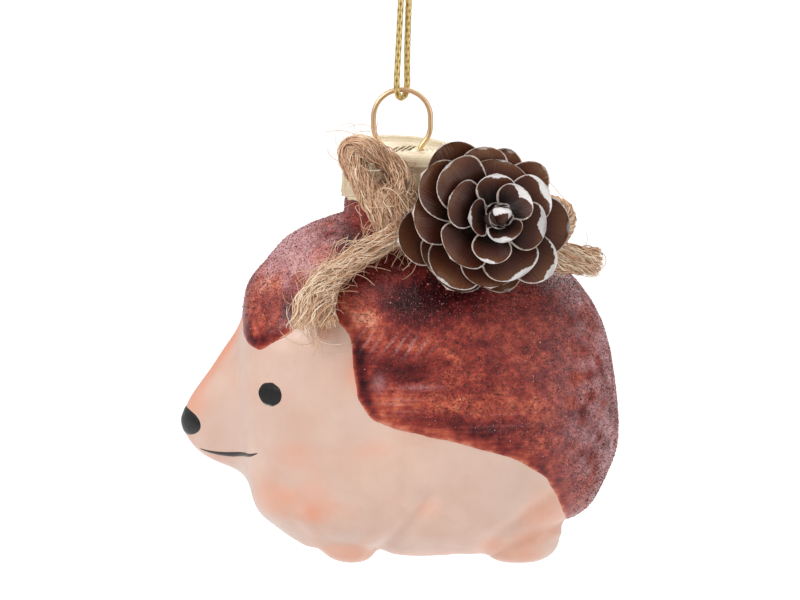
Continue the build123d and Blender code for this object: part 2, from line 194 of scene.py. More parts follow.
def smooth_line(points: list[tuple[float, float, float]], count: int) -> np.ndarray:
    """Run a smooth curve through points.

    Args:
        points: The points that it passes, in millimetres.
        count: How many points to return.

    Returns:
        Points spaced evenly along the curve.
    """
    knots = np.array(points, float)
    padded = np.vstack([2 * knots[0] - knots[1], knots, 2 * knots[-1] - knots[-2]])
    fine = []
    for i in range(len(knots) - 1):
        a, b, c, d = padded[i:i + 4]
        t = np.linspace(0, 1, 24, endpoint=False)[:, None]
        fine.append(0.5 * (2 * b + (c - a) * t + (2 * a - 5 * b + 4 * c - d) * t ** 2
                           + (3 * b - a - 3 * c + d) * t ** 3))
    fine = np.vstack(fine + [knots[-1:]])
    return resample(fine, np.linspace(0, run_lengths(fine)[-1], count))


def off_segment(flat: np.ndarray, start: np.ndarray, end: np.ndarray) -> np.ndarray:
    """How far flat points lie from a straight segment.

    Args:
        flat: The points.
        start: Where the segment starts.
        end: Where it ends.

    Returns:
        One distance for each point.
    """
    along = end - start
    share = np.clip(((flat - start) @ along) / (along @ along), 0, 1)
    return np.linalg.norm(flat - start - share[:, None] * along, axis=1)


def turn_about(axis: str, angle: float) -> np.ndarray:
    """Make the matrix of a turn.

    Args:
        axis: The axis to turn about: x, y or z.
        angle: How far, in radians.

    Returns:
        A matrix of three rows.
    """
    first, second = {"x": (1, 2), "y": (2, 0), "z": (0, 1)}[axis]
    matrix = np.eye(3)
    matrix[first, first] = matrix[second, second] = math.cos(angle)
    matrix[second, first] = math.sin(angle)
    matrix[first, second] = -math.sin(angle)
    return matrix


def ring_faces(rings: int, sides: int) -> np.ndarray:
    """Number the faces between rings of points that follow one another.

    Args:
        rings: How many rings there are.
        sides: How many points each ring has.

    Returns:
        Four-cornered faces.
    """
    i = np.repeat(np.arange(rings - 1), sides)
    k = np.tile(np.arange(sides), rings - 1)
    after = (k + 1) % sides
    return np.stack([i * sides + k, i * sides + after, (i + 1) * sides + after, (i + 1) * sides + k], axis=1)


def sheet_faces(rows: int, columns: int, turned: bool = False) -> list[list[int]]:
    """Number the faces of a thin sheet: an upper grid of points, a lower one and the border between.

    Args:
        rows: Points of the grid in one direction.
        columns: Points in the other.
        turned: Whether the faces look the other way.

    Returns:
        Four-cornered faces.
    """
    size = rows * columns
    corner = (np.arange(rows - 1)[:, None] * columns + np.arange(columns - 1)[None]).reshape(-1, 1)
    upper = corner + np.array([[0, 1, columns + 1, columns]])
    grid = np.arange(size).reshape(rows, columns)
    border = np.concatenate([grid[:, 0], grid[-1, 1:], grid[-2::-1, -1], grid[0, -2:0:-1]])
    after = np.roll(border, -1)
    if turned:
        parts = [upper[:, [0, 3, 2, 1]], upper + size]
        edge = np.stack([border, after, size + after, size + border], axis=1)
    else:
        parts = [upper, upper[:, ::-1] + size]
        edge = np.stack([after, border, size + border, size + after], axis=1)
    return np.vstack(parts + [edge]).tolist()


def cut_patch(faces: np.ndarray, keep: np.ndarray) -> tuple[np.ndarray, np.ndarray]:
    """Cut a patch out of a mesh.

    Args:
        faces: The mesh's four-cornered faces.
        keep: Which of them stay.

    Returns:
        The points that the patch uses, and its faces by their new numbers.
    """
    used, patch = np.unique(faces[keep], return_inverse=True)
    return used, patch.reshape(-1, 4)


def frames_along(line: np.ndarray) -> tuple[np.ndarray, np.ndarray, np.ndarray]:
    """Carry a pair of cross directions along a line without twist.

    Args:
        line: Points in order.

    Returns:
        Unit tangents, normals and binormals.
    """
    tangent = np.gradient(line, axis=0)
    tangent /= np.linalg.norm(tangent, axis=1, keepdims=True) + 1e-12
    normal = np.zeros_like(line)
    first = np.eye(3)[np.argmin(np.abs(tangent[0]))]
    normal[0] = first - tangent[0] * (first @ tangent[0])
    for i in range(1, len(line)):
        normal[i] = normal[i - 1] - tangent[i] * (normal[i - 1] @ tangent[i])
        normal[i] /= np.linalg.norm(normal[i]) + 1e-12
    normal[0] /= np.linalg.norm(normal[0]) + 1e-12
    return tangent, normal, np.cross(tangent, normal)


def thin_tubes(lines: list[np.ndarray], radii: list[float], sides: int) -> tuple[np.ndarray, np.ndarray]:
    """Wrap many lines in thin tapering tubes.

    Args:
        lines: The centre lines, in millimetres.
        radii: One radius for each line.
        sides: How many sides each tube has.

    Returns:
        Points and four-cornered faces of one mesh.
    """
    points, faces, base = [], [], 0
    turn = np.arange(sides) * 2 * math.pi / sides
    for line, radius in zip(lines, radii):
        count = len(line)
        tangent = np.gradient(line, axis=0)
        tangent /= np.linalg.norm(tangent, axis=1, keepdims=True) + 1e-12
        ref = np.eye(3)[np.argmin(np.abs(tangent).mean(0))]
        normal = ref - tangent * (tangent @ ref)[:, None]
        normal /= np.linalg.norm(normal, axis=1, keepdims=True) + 1e-12
        across = np.cross(tangent, normal)
        share = np.linspace(0, 1, count)
        taper = radius * np.clip(np.minimum(share, 1 - share) * 12 + 0.35, 0, 1)
        ring = (line[:, None] + taper[:, None, None] * (np.cos(turn)[None, :, None] * normal[:, None]
                                                        + np.sin(turn)[None, :, None] * across[:, None]))
        points.append(ring.reshape(-1, 3))
        faces.append(base + ring_faces(count, sides))
        base += count * sides
    return np.vstack(points), np.vstack(faces)


def add_object(name: str, data: bpy.types.ID) -> bpy.types.Object:
    """Stand a mesh, curve, light or camera in the scene.

    Args:
        name: The object's name.
        data: What it shows.

    Returns:
        The new object.
    """
    made = bpy.data.objects.new(name, data)
    bpy.context.scene.collection.objects.link(made)
    return made


def build_piece(name: str, points: np.ndarray, faces: np.ndarray | list, material: bpy.types.Material,
                body: Body, values: dict[str, np.ndarray] | None = None,
                replaces: tuple[str, ...] = (), smooth: bool = True) -> bpy.types.Object:
    """Make a mesh piece in the CAD frame and let it ride on a body.

    Args:
        name: The piece's name.
        points: Its points, in millimetres.
        faces: Its faces as lists of point numbers.
        material: Its finish.
        body: The body that carries it.
        values: Numbers for each point that the material reads, by name.
        replaces: The CAD nodes that it stands for.
        smooth: Whether its faces are shaded smooth.

    Returns:
        The new object.
    """
    mesh = bpy.data.meshes.new(name)
    face_lists = faces.tolist() if isinstance(faces, np.ndarray) else faces
    mesh.from_pydata((np.asarray(points) * MM).tolist(), [], face_lists)
    for key, value in (values or {}).items():
        mesh.attributes.new(key, "FLOAT", "POINT").data.foreach_set("value", np.asarray(value, np.float32))
    mesh.polygons.foreach_set("use_smooth", [smooth] * len(mesh.polygons))
    mesh.update()
    piece = add_object(name, mesh)
    mesh.materials.append(material)
    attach(piece, body.value)
    if replaces:
        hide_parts(*replaces)
    log.info("%s: %d points, rides on %s", name, len(mesh.vertices), body.value)
    return piece


def dress_node(name: str, material: bpy.types.Material) -> None:
    """Give a CAD node that stays a better material.

    Args:
        name: The node.
        material: Its finish.
    """
    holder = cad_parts[name]
    if not holder.material_slots:
        holder.data.materials.append(material)
    for slot in holder.material_slots:
        slot.material = material
    log.info("%s: CAD node dressed in %s", name, material.name)


def bump(tree: bpy.types.NodeTree, height: bpy.types.NodeSocket, depth_mm: float,
         strength: float = 1.0) -> bpy.types.NodeSocket:
    """Turn a height from 0 to 1 into a shading normal.

    Args:
        tree: The node tree.
        height: The height socket.
        depth_mm: How deep a height of 1 is, in millimetres.
        strength: How much of it shows.

    Returns:
        The normal socket.
    """
    made = add_node(tree, "Bump", {"Strength": strength, "Distance": depth_mm * MM}, {"Height": height})
    return made.outputs["Normal"]


def object_place(tree: bpy.types.NodeTree,
                 stretch: tuple[float, float, float] = (1, 1, 1)) -> bpy.types.NodeSocket:
    """Read the object's own coordinates, in metres.

    Args:
        tree: The node tree.
        stretch: How much denser a pattern gets along each axis.

    Returns:
        The coordinates' socket.
    """
    coords = add_node(tree, "TexCoord")
    mapping = add_node(tree, "Mapping", {"Scale": stretch}, {"Vector": coords.outputs["Object"]})
    return mapping.outputs["Vector"]


def value_of(tree: bpy.types.NodeTree, name: str) -> bpy.types.NodeSocket:
    """Read a number that the mesh holds for each point."""
    return add_node(tree, "Attribute", {"attribute_name": name}).outputs["Fac"]


@dataclass(frozen=True)
class PearlLacquer:
    """Airbrushed pearl lacquer on blown glass: satin cream with a soft pearl sheen and orange shading."""

    cream: str = "#DDBBA9"
    rose: str = "#D2A590"
    orange: str = "#E98F66"
    grey: str = "#CFB5A8"
    roughness: float = 0.36

    def make(self) -> bpy.types.Material:
        """Build the material; its blush value says where the airbrush went, its grey value holds mottling
        and painted shade.

        Returns:
            The material.
        """
        material, tree, shader = new_material("Pearl lacquer, airbrushed on blown glass", {
            "Roughness": self.roughness, "IOR": 1.5, "Coat Weight": 0.25, "Coat Roughness": 0.22,
            "Sheen Weight": 0.15, "Sheen Roughness": 0.4})
        place = object_place(tree)
        # Clouds 9 mm wide: the uneven build-up of sprayed lacquer
        cloud = add_node(tree, "TexNoise", {"Scale": 110.0, "Detail": 3.0, "Roughness": 0.55},
                         {"Vector": place})
        tone = add_node(tree, "ValToRGB", {"ramp": [(0.32, self.cream), (0.68, self.rose)]},
                        {"Fac": cloud})
        # Grey mixed in: random mottling, plus painted shade in the dents by the legs and on the cheek
        dusk = add_node(tree, "Mix", {"data_type": "RGBA", 7: linear(self.grey)},
                        {0: value_of(tree, "dusk"), 6: tone})
        wisp = add_node(tree, "TexNoise", {"Scale": 260.0, "Detail": 4.0}, {"Vector": place})
        # The spray's edge breaks up where it thins
        broken = add_node(tree, "Math", {"operation": "MULTIPLY_ADD", 1: 0.35, 2: -0.17}, {0: wisp})
        spray = add_node(tree, "Math", {"operation": "ADD", "use_clamp": True},
                         {0: value_of(tree, "blush"), 1: broken})
        gate = add_node(tree, "Math", {"operation": "MULTIPLY", "use_clamp": True},
                        {0: spray, 1: value_of(tree, "blush_gate")})
        colour = add_node(tree, "Mix", {"data_type": "RGBA", 7: linear(self.orange)},
                          {0: gate, 6: dusk.outputs[2]})
        tree.links.new(colour.outputs[2], shader.inputs["Base Color"])
        # Dimples about 5 mm wide and up to 0.35 mm deep, as blown glass has
        swell = add_node(tree, "TexNoise", {"Scale": 190.0, "Detail": 2.0}, {"Vector": place})
        tree.links.new(bump(tree, swell.outputs["Fac"], 0.35), shader.inputs["Normal"])
        return material


@dataclass(frozen=True)
class BeadedVarnish:
    """Thick tinted varnish, brushed on and strewn with glass beads: dark where deep, orange where thin."""

    stops: tuple[tuple[float, str], ...] = (
        (0.0, "#CC8267"), (0.2, "#B4563F"), (0.42, "#8E362C"), (0.66, "#641C1C"), (1.0, "#2C060A"))
    frost: str = "#C99A9C"
    fleck: str = "#2A1216"
    bead_mm: float = 0.38

    def make(self) -> bpy.types.Material:
        """Build the material; the values say how thick, pale, brushed and strewn it is; pale includes
        painted sheen and highlights.

        Returns:
            The material.
        """
        material, tree, shader = new_material("Tinted varnish, brushed on and strewn with glass beads", {
            "Sheen Roughness": 0.3, "Sheen Tint": linear("#CDB4CC"), "Roughness": 0.24, "IOR": 1.46,
            "Specular IOR Level": 0.3})
        place = object_place(tree)
        fine = add_node(tree, "TexNoise", {"Scale": 900.0, "Detail": 5.0, "Roughness": 0.65},
                        {"Vector": place})
        # Brush hairs leave streaks about 0.7 mm apart along the body
        streak = add_node(tree, "TexNoise", {"Scale": 1.0, "Detail": 2.0},
                          {"Vector": object_place(tree, (170.0, 700.0, 1500.0))})
        grain = add_node(tree, "Math", {"operation": "MULTIPLY_ADD", 1: 0.5, 2: -0.25}, {0: fine})
        lines = add_node(tree, "Math", {"operation": "MULTIPLY_ADD", 1: 0.5, 2: -0.25}, {0: streak})
        shown = add_node(tree, "Math", {"operation": "MULTIPLY"},
                         {0: lines, 1: value_of(tree, "brushed")})
        depth = add_node(tree, "Math", {"operation": "ADD"}, {0: value_of(tree, "depth"), 1: grain})
        depth = add_node(tree, "Math", {"operation": "ADD"}, {0: depth, 1: shown})
        tint = add_node(tree, "ValToRGB", {"ramp": list(self.stops)}, {"Fac": depth})
        # Pale frost mixed in: frosted beads, plus painted sheen near the silhouette and painted highlights
        pale = add_node(tree, "Mix", {"data_type": "RGBA", 7: linear(self.frost)},
                        {0: value_of(tree, "frost"), 6: tint})
        # One cell for each bead: every bead is a little lighter or darker than its neighbours
        cells = add_node(tree, "TexVoronoi", {"Scale": 1000.0 / self.bead_mm}, {"Vector": place})
        split = add_node(tree, "SeparateColor", {}, {0: cells.outputs["Color"]})
        shade = add_node(tree, "MapRange", {"To Min": 0.55, "To Max": 1.5}, {"Value": split})
        shaded = add_node(tree, "Mix", {"data_type": "RGBA", "blend_type": "MULTIPLY"},
                          {0: value_of(tree, "beads"), 6: pale.outputs[2], 7: shade})
        # About one bead in nine shows its dark inside
        rare = add_node(tree, "Math", {"operation": "GREATER_THAN", 1: 0.89}, {0: split.outputs[1]})
        near = add_node(tree, "Math", {"operation": "LESS_THAN", 1: 0.42}, {0: cells.outputs["Distance"]})
        dark = add_node(tree, "Math", {"operation": "MULTIPLY"}, {0: rare, 1: near})
        dark = add_node(tree, "Math", {"operation": "MULTIPLY"}, {0: dark, 1: value_of(tree, "flecks")})
        colour = add_node(tree, "Mix", {"data_type": "RGBA", 7: linear(self.fleck)},
                          {0: dark, 6: shaded.outputs[2]})
        tree.links.new(colour.outputs[2], shader.inputs["Base Color"])
        round_top = add_node(tree, "MapRange", {"From Max": 0.6, "To Min": 1.0, "To Max": 0.0},
                             {"Value": cells.outputs["Distance"]})
        height = add_node(tree, "Math", {"operation": "MULTIPLY"},
                          {0: round_top, 1: value_of(tree, "beads")})
        height = add_node(tree, "Math", {"operation": "ADD"}, {0: height, 1: fine})
        height = add_node(tree, "Math", {"operation": "ADD"}, {0: height, 1: shown})
        tree.links.new(bump(tree, height.outputs[0], 0.12, 0.8), shader.inputs["Normal"])
        tree.links.new(value_of(tree, "frost"), shader.inputs["Sheen Weight"])
        return material


@dataclass(frozen=True)
class LooseBead:
    """Fine soda-glass beads set in tinted varnish: tiny hard highlights over wine, dark or clear insides."""

    def make(self) -> bpy.types.Material:
        """Build the material; the mesh's tone value picks each bead's inside.

        Returns:
            The material.
        """
        material, tree, shader = new_material("Soda-glass micro beads, wine tinted", {
            "Roughness": 0.12, "IOR": 1.52})
        tint = add_node(tree, "ValToRGB",
                        {"ramp": [(0.0, "#1E0B0E"), (0.07, "#2E1014"), (0.12, "#6B2320"), (0.7, "#93403A"),
                                  (0.88, "#B9746A"), (1.0, "#E6C3BB")]},
                        {"Fac": value_of(tree, "tone")})
        tree.links.new(tint.outputs["Color"], shader.inputs["Base Color"])
        return material


@dataclass(frozen=True)
class Enamel:
    """Brushed-on gloss enamel: nearly black or dark brown, lighter where the brush left it thin."""

    colour: str
    thin: str
    name: str

    def make(self) -> bpy.types.Material:
        """Build the material.

        Returns:
            The material.
        """
        material, tree, shader = new_material(self.name, {"Roughness": 0.3, "IOR": 1.5})
        place = object_place(tree)
        # Brush marks 0.7 mm wide
        marks = add_node(tree, "TexNoise", {"Scale": 1400.0, "Detail": 3.0}, {"Vector": place})
        tint = add_node(tree, "ValToRGB", {"ramp": [(0.35, self.colour), (0.8, self.thin)]},
                        {"Fac": marks})
        tree.links.new(tint.outputs["Color"], shader.inputs["Base Color"])
        tree.links.new(bump(tree, marks.outputs["Fac"], 0.05), shader.inputs["Normal"])
        return material


@dataclass(frozen=True)
class PressedCapSheet:
    """Champagne-lacquered tinplate, pressed: pale and matte, with fine rolling grain and rubbed spots."""

    champagne: str = "#E0D2B4"
    rubbed: str = "#CDB694"

    def make(self) -> bpy.types.Material:
        """Build the material.

        Returns:
            The material.
        """
        material, tree, shader = new_material("Champagne-lacquered tinplate, pressed", {"Metallic": 0.25})
        place = object_place(tree)
        # Rubbed patches 3 mm wide
        patch = add_node(tree, "TexNoise", {"Scale": 320.0, "Detail": 4.0}, {"Vector": place})
        tint = add_node(tree, "ValToRGB", {"ramp": [(0.38, self.champagne), (0.75, self.rubbed)]},
                        {"Fac": patch})
        tree.links.new(tint.outputs["Color"], shader.inputs["Base Color"])
        # Rolling grain 0.4 mm wide
        grain = add_node(tree, "TexNoise", {"Scale": 2600.0, "Detail": 2.0}, {"Vector": place})
        rough = add_node(tree, "MapRange", {"To Min": 0.42, "To Max": 0.6},
                         {"Value": grain.outputs["Fac"]})
        tree.links.new(rough.outputs[0], shader.inputs["Roughness"])
        tree.links.new(bump(tree, grain.outputs["Fac"], 0.03), shader.inputs["Normal"])
        return material


@dataclass(frozen=True)
class RoseGoldWire:
    """Brass-plated steel wire, drawn: bright, turning from rose at the ring to yellow at the legs."""

    def make(self) -> bpy.types.Material:
        """Build the material; height on the wire picks rose or yellow.

        Returns:
            The material.
        """
        material, tree, shader = new_material("Brass-plated spring wire, drawn", {"Metallic": 1.0})
        place = object_place(tree)
        split = add_node(tree, "SeparateXYZ", {}, {0: place})
        level = add_node(tree, "MapRange", {"From Min": -0.0385, "From Max": -0.0345},
                         {"Value": split.outputs[2]})
        tint = add_node(tree, "ValToRGB", {"ramp": [(0.0, "#EBD89E"), (1.0, "#E2BF98")]}, {"Fac": level})
        tree.links.new(tint.outputs["Color"], shader.inputs["Base Color"])
        # Lines from drawing, 0.2 mm wide
        lines = add_node(tree, "TexNoise", {"Scale": 1.0, "Detail": 2.0},
                         {"Vector": object_place(tree, (900.0, 5000.0, 900.0))})
        rough = add_node(tree, "MapRange", {"To Min": 0.36, "To Max": 0.5},
                         {"Value": lines.outputs["Fac"]})
        tree.links.new(rough.outputs[0], shader.inputs["Roughness"])
        return material


@dataclass(frozen=True)
class MetallicBraid:
    """Metallised polyester thread, braided: gold, with painted highlight on the crowns and painted shade in
    the gaps.
    """

    def make(self) -> bpy.types.Material:
        """Build the material; the mesh's crown value is 1 on top of a thread and 0 between threads.

        Returns:
            The material.
        """
        material, tree, shader = new_material("Metallised polyester cord, braided", {"Metallic": 0.7})
        # Painted light: pale highlight on each thread's crown, dark brown painted shade in the gaps between
        # threads
        tint = add_node(tree, "ValToRGB",
                        {"ramp": [(0.0, "#7E6433"), (0.5, "#CFAE62"), (1.0, "#F3E0A6")]},
                        {"Fac": value_of(tree, "crown")})
        tree.links.new(tint.outputs["Color"], shader.inputs["Base Color"])
        glint = add_node(tree, "TexNoise", {"Scale": 4000.0, "Detail": 1.0},
                         {"Vector": object_place(tree)})
        rough = add_node(tree, "MapRange", {"To Min": 0.25, "To Max": 0.55}, {"Value": glint})
        tree.links.new(rough.outputs[0], shader.inputs["Roughness"])
        return material


@dataclass(frozen=True)
class JuteFibre:
    """Natural jute, loosely spun and hairy: dry tan fibres, each a little different."""

    name: str = "Jute fibre, loosely spun"
    stops: tuple[tuple[float, str], ...] = (
        (0.0, "#6B4531"), (0.3, "#AF815E"), (0.65, "#D8AD88"), (1.0, "#F8E3C9"))

    def make(self) -> bpy.types.Material:
        """Build the material; the mesh's tone value picks each fibre's shade.

        Returns:
            The material.
        """
        material, tree, shader = new_material(self.name, {
            "Roughness": 0.75, "Sheen Weight": 0.2, "Sheen Roughness": 0.5})
        place = object_place(tree)
        patch = add_node(tree, "TexNoise", {"Scale": 700.0, "Detail": 3.0}, {"Vector": place})
        shift = add_node(tree, "Math", {"operation": "MULTIPLY_ADD", 1: 0.4, 2: -0.2}, {0: patch})
        total = add_node(tree, "Math", {"operation": "ADD"}, {0: value_of(tree, "tone"), 1: shift})
        tint = add_node(tree, "ValToRGB", {"ramp": list(self.stops)}, {"Fac": total})
        tree.links.new(tint.outputs["Color"], shader.inputs["Base Color"])
        return material


@dataclass(frozen=True)
class ConeScaleWood:
    """Dried pine cone scale under varnish: glossy brown with rays, painted shade near the root, a pale dry
    rim and dabs of white.
    """

    dark: str = "#0C0302"
    brown: str = "#4A261B"
    tan: str = "#70482F"
    rim: str = "#E0CEC3"
    white: str = "#E9E4E2"

    def make(self) -> bpy.types.Material:
        """Build the material; edge is the distance from the rim, snow how far the paint reaches over it.

        Returns:
            The material.
        """
        material, tree, shader = new_material("Pine cone scale, dried and varnished", {
            "Roughness": 0.26, "IOR": 1.45, "Specular IOR Level": 0.3})
        place = object_place(tree)
        along = value_of(tree, "along")
        # Painted shade: near black at each scale's root, deep between the scales; brown to tan towards the
        # rim is the wood's own colour
        base = add_node(tree, "ValToRGB",
                        {"ramp": [(0.0, self.dark), (0.4, "#1C0B06"), (0.75, self.brown), (1.0, self.tan)]},
                        {"Fac": along})
        # Rays about half a millimetre apart run from the root to the rim
        ray = add_node(tree, "TexNoise", {"noise_dimensions": "1D", "Scale": 1.0, "Detail": 3.0},
                       {"W": value_of(tree, "ray")})
        veins = add_node(tree, "MapRange", {"To Min": 0.8, "To Max": 1.2}, {"Value": ray})
        veined = add_node(tree, "Mix", {"data_type": "RGBA", "blend_type": "MULTIPLY", 0: 1.0},
                          {6: base, 7: veins})
        wear = add_node(tree, "TexNoise", {"Scale": 1500.0, "Detail": 4.0}, {"Vector": place})
        shift = add_node(tree, "Math", {"operation": "MULTIPLY_ADD", 1: 0.5, 2: -0.25}, {0: wear})
        edge = add_node(tree, "Math", {"operation": "ADD"}, {0: value_of(tree, "edge"), 1: shift})
        rimmed = add_node(tree, "MapRange",
                          {"From Min": 0.06, "From Max": 0.34, "To Min": 1.0, "To Max": 0.0},
                          {"Value": edge})
        pale = add_node(tree, "Mix", {"data_type": "RGBA", 7: linear(self.rim)},
                        {0: rimmed, 6: veined.outputs[2]})
        drift = add_node(tree, "Math", {"operation": "MULTIPLY_ADD", 1: 0.9, 2: -0.45}, {0: wear})
        snow = add_node(tree, "Math", {"operation": "ADD"}, {0: value_of(tree, "snow"), 1: drift})
        painted = add_node(tree, "MapRange", {"From Min": -0.05, "From Max": 0.1}, {"Value": snow})
        colour = add_node(tree, "Mix", {"data_type": "RGBA", 7: linear(self.white)},
                          {0: painted, 6: pale.outputs[2]})
        tree.links.new(colour.outputs[2], shader.inputs["Base Color"])
        height = add_node(tree, "Math", {"operation": "ADD"}, {0: ray, 1: painted})
        tree.links.new(bump(tree, height.outputs[0], 0.12), shader.inputs["Normal"])
        return material


@dataclass(frozen=True)
class HotGlue:
    """Hot-melt glue, set: milky amber, smooth and rounded."""

    def make(self) -> bpy.types.Material:
        """Build the material.

        Returns:
            The material.
        """
        material, tree, shader = new_material("Hot-melt glue, set", {
            "Roughness": 0.3, "Transmission Weight": 0.2})
        cloud = add_node(tree, "TexNoise", {"Scale": 500.0, "Detail": 3.0},
                         {"Vector": object_place(tree)})
        tint = add_node(tree, "ValToRGB", {"ramp": [(0.3, "#C9A878"), (0.7, "#E0CBA2")]}, {"Fac": cloud})
        tree.links.new(tint.outputs["Color"], shader.inputs["Base Color"])
        tree.links.new(bump(tree, cloud.outputs["Fac"], 0.2), shader.inputs["Normal"])
        return material


@dataclass(frozen=True)
class ConeBark:
    """The cone's core: dry bark, dark and rough."""

    hollow: str = "#1C0D09"
    ridge: str = "#4A2A1C"

    def make(self) -> bpy.types.Material:
        """Build the material.

        Returns:
            The material.
        """
        material, tree, shader = new_material("Pine cone core, dry bark", {"Roughness": 0.8})
        grain = add_node(tree, "TexNoise", {"Scale": 1100.0, "Detail": 5.0},
                         {"Vector": object_place(tree)})
        tint = add_node(tree, "ValToRGB", {"ramp": [(0.3, self.hollow), (0.75, self.ridge)]},
                        {"Fac": grain.outputs["Fac"]})
        tree.links.new(tint.outputs["Color"], shader.inputs["Base Color"])
        tree.links.new(bump(tree, grain.outputs["Fac"], 0.3), shader.inputs["Normal"])
        return material


@dataclass
class Studio:
    """The camera, the soft lights and the pale floor."""

    target: tuple[float, float, float] = (-1.31, 0.0, -69.25)
    camera: tuple[float, float, float] = (-1.31, -736.22, 73.86)
    lens: float = 163.5
    floor_z: float = -470.0

    def place_camera(self) -> None:
        """Put the camera at the photograph's viewing angle."""
        data = bpy.data.cameras.new("camera")
        data.lens, data.sensor_width = self.lens, 36.0
        data.clip_start, data.clip_end = 0.05, 20.0
        camera = add_object("camera", data)
        camera.location = Vector(self.camera) * MM
        camera.rotation_mode = "QUATERNION"
        aim = (Vector(self.target) - Vector(self.camera)) * MM
        camera.rotation_quaternion = aim.to_track_quat("-Z", "Y")
        bpy.context.scene.camera = camera

    def add_light(self, name: str, place: tuple[float, float, float], width: float, watts: float) -> None:
        """Add a square soft light aimed at the ornament.

        Args:
            name: The light's name.
            place: Where it stands, in metres.
            width: Its side, in metres.
            watts: Its power.
        """
        data = bpy.data.lights.new(name, "AREA")
        data.shape, data.size, data.energy = "SQUARE", width, watts
        light = add_object(name, data)
        light.location = place
        aim = Vector(self.target) * MM - Vector(place)
        light.rotation_mode = "QUATERNION"
        light.rotation_quaternion = aim.to_track_quat("-Z", "Y")

    def light_world(self) -> None:
        """White surroundings: full white where they are seen, softer where they light."""
        world = bpy.data.worlds.new("studio")
        bpy.context.scene.world = world
        world.use_nodes = True
        tree = world.node_tree
        tree.nodes.clear()
        path = add_node(tree, "LightPath")
        seen = add_node(tree, "Math", {"operation": "MAXIMUM"},
                        {0: path.outputs["Is Camera Ray"], 1: path.outputs["Is Transmission Ray"]})
        coords = add_node(tree, "TexCoord")
        split = add_node(tree, "SeparateXYZ", {}, {0: coords.outputs["Generated"]})
        # Reflections fade from the bright ceiling to the darker room below the table's edge
        rise = add_node(tree, "MapRange",
                        {"From Min": -0.35, "From Max": 0.8, "To Min": 0.22, "To Max": 0.8},
                        {"Value": split.outputs[2]})
        soft = add_node(tree, "Background", {"Color": linear("#FFFFFF")}, {"Strength": rise})
        white = add_node(tree, "Background", {"Color": linear("#FFFFFF"), "Strength": 1.0})
        both = add_node(tree, "MixShader", {}, {0: seen, 1: soft, 2: white})
        add_node(tree, "OutputWorld", {}, {0: both})

    def lay_floor(self) -> None:
        """A wide pale floor far under the hanging ornament."""
        material, tree, shader = new_material("Studio paper, matte white", {
            "Base Color": linear("#F4F4F4"), "Roughness": 0.9})
        path = add_node(tree, "LightPath")
        glow = add_node(tree, "Emission", {"Color": linear("#FFFFFF"), "Strength": 0.5})
        dark = add_node(tree, "Emission", {"Color": linear("#FFFFFF"), "Strength": 0.0})
        extra = add_node(tree, "MixShader", {}, {0: path.outputs["Is Camera Ray"], 1: dark, 2: glow})
        total = add_node(tree, "AddShader", {}, {0: shader, 1: extra})
        tree.links.new(total.outputs[0], tree.nodes["Material Output"].inputs[0])
        mesh = bpy.data.meshes.new("studio_floor")
        reach = 6.0
        z = self.floor_z * MM
        corners = [(-reach, -reach, z), (reach, -reach, z), (reach, reach, z), (-reach, reach, z)]
        mesh.from_pydata(corners, [], [(0, 1, 2, 3)])
        mesh.materials.append(material)
        floor = add_object("studio_floor", mesh)

    def build(self) -> None:
        """Set up everything around the ornament."""
        bpy.context.scene.view_settings.view_transform = "Standard"
        self.place_camera()
        self.light_world()
        self.lay_floor()
        self.add_light("key", (-0.7, -0.5, 0.55), 0.45, 6.2)
        self.add_light("fill", (0.8, -0.5, 0.1), 0.7, 2.6)
        self.add_light("back", (0.25, 0.7, 0.4), 0.6, 3.2)
        log.info("studio ready")


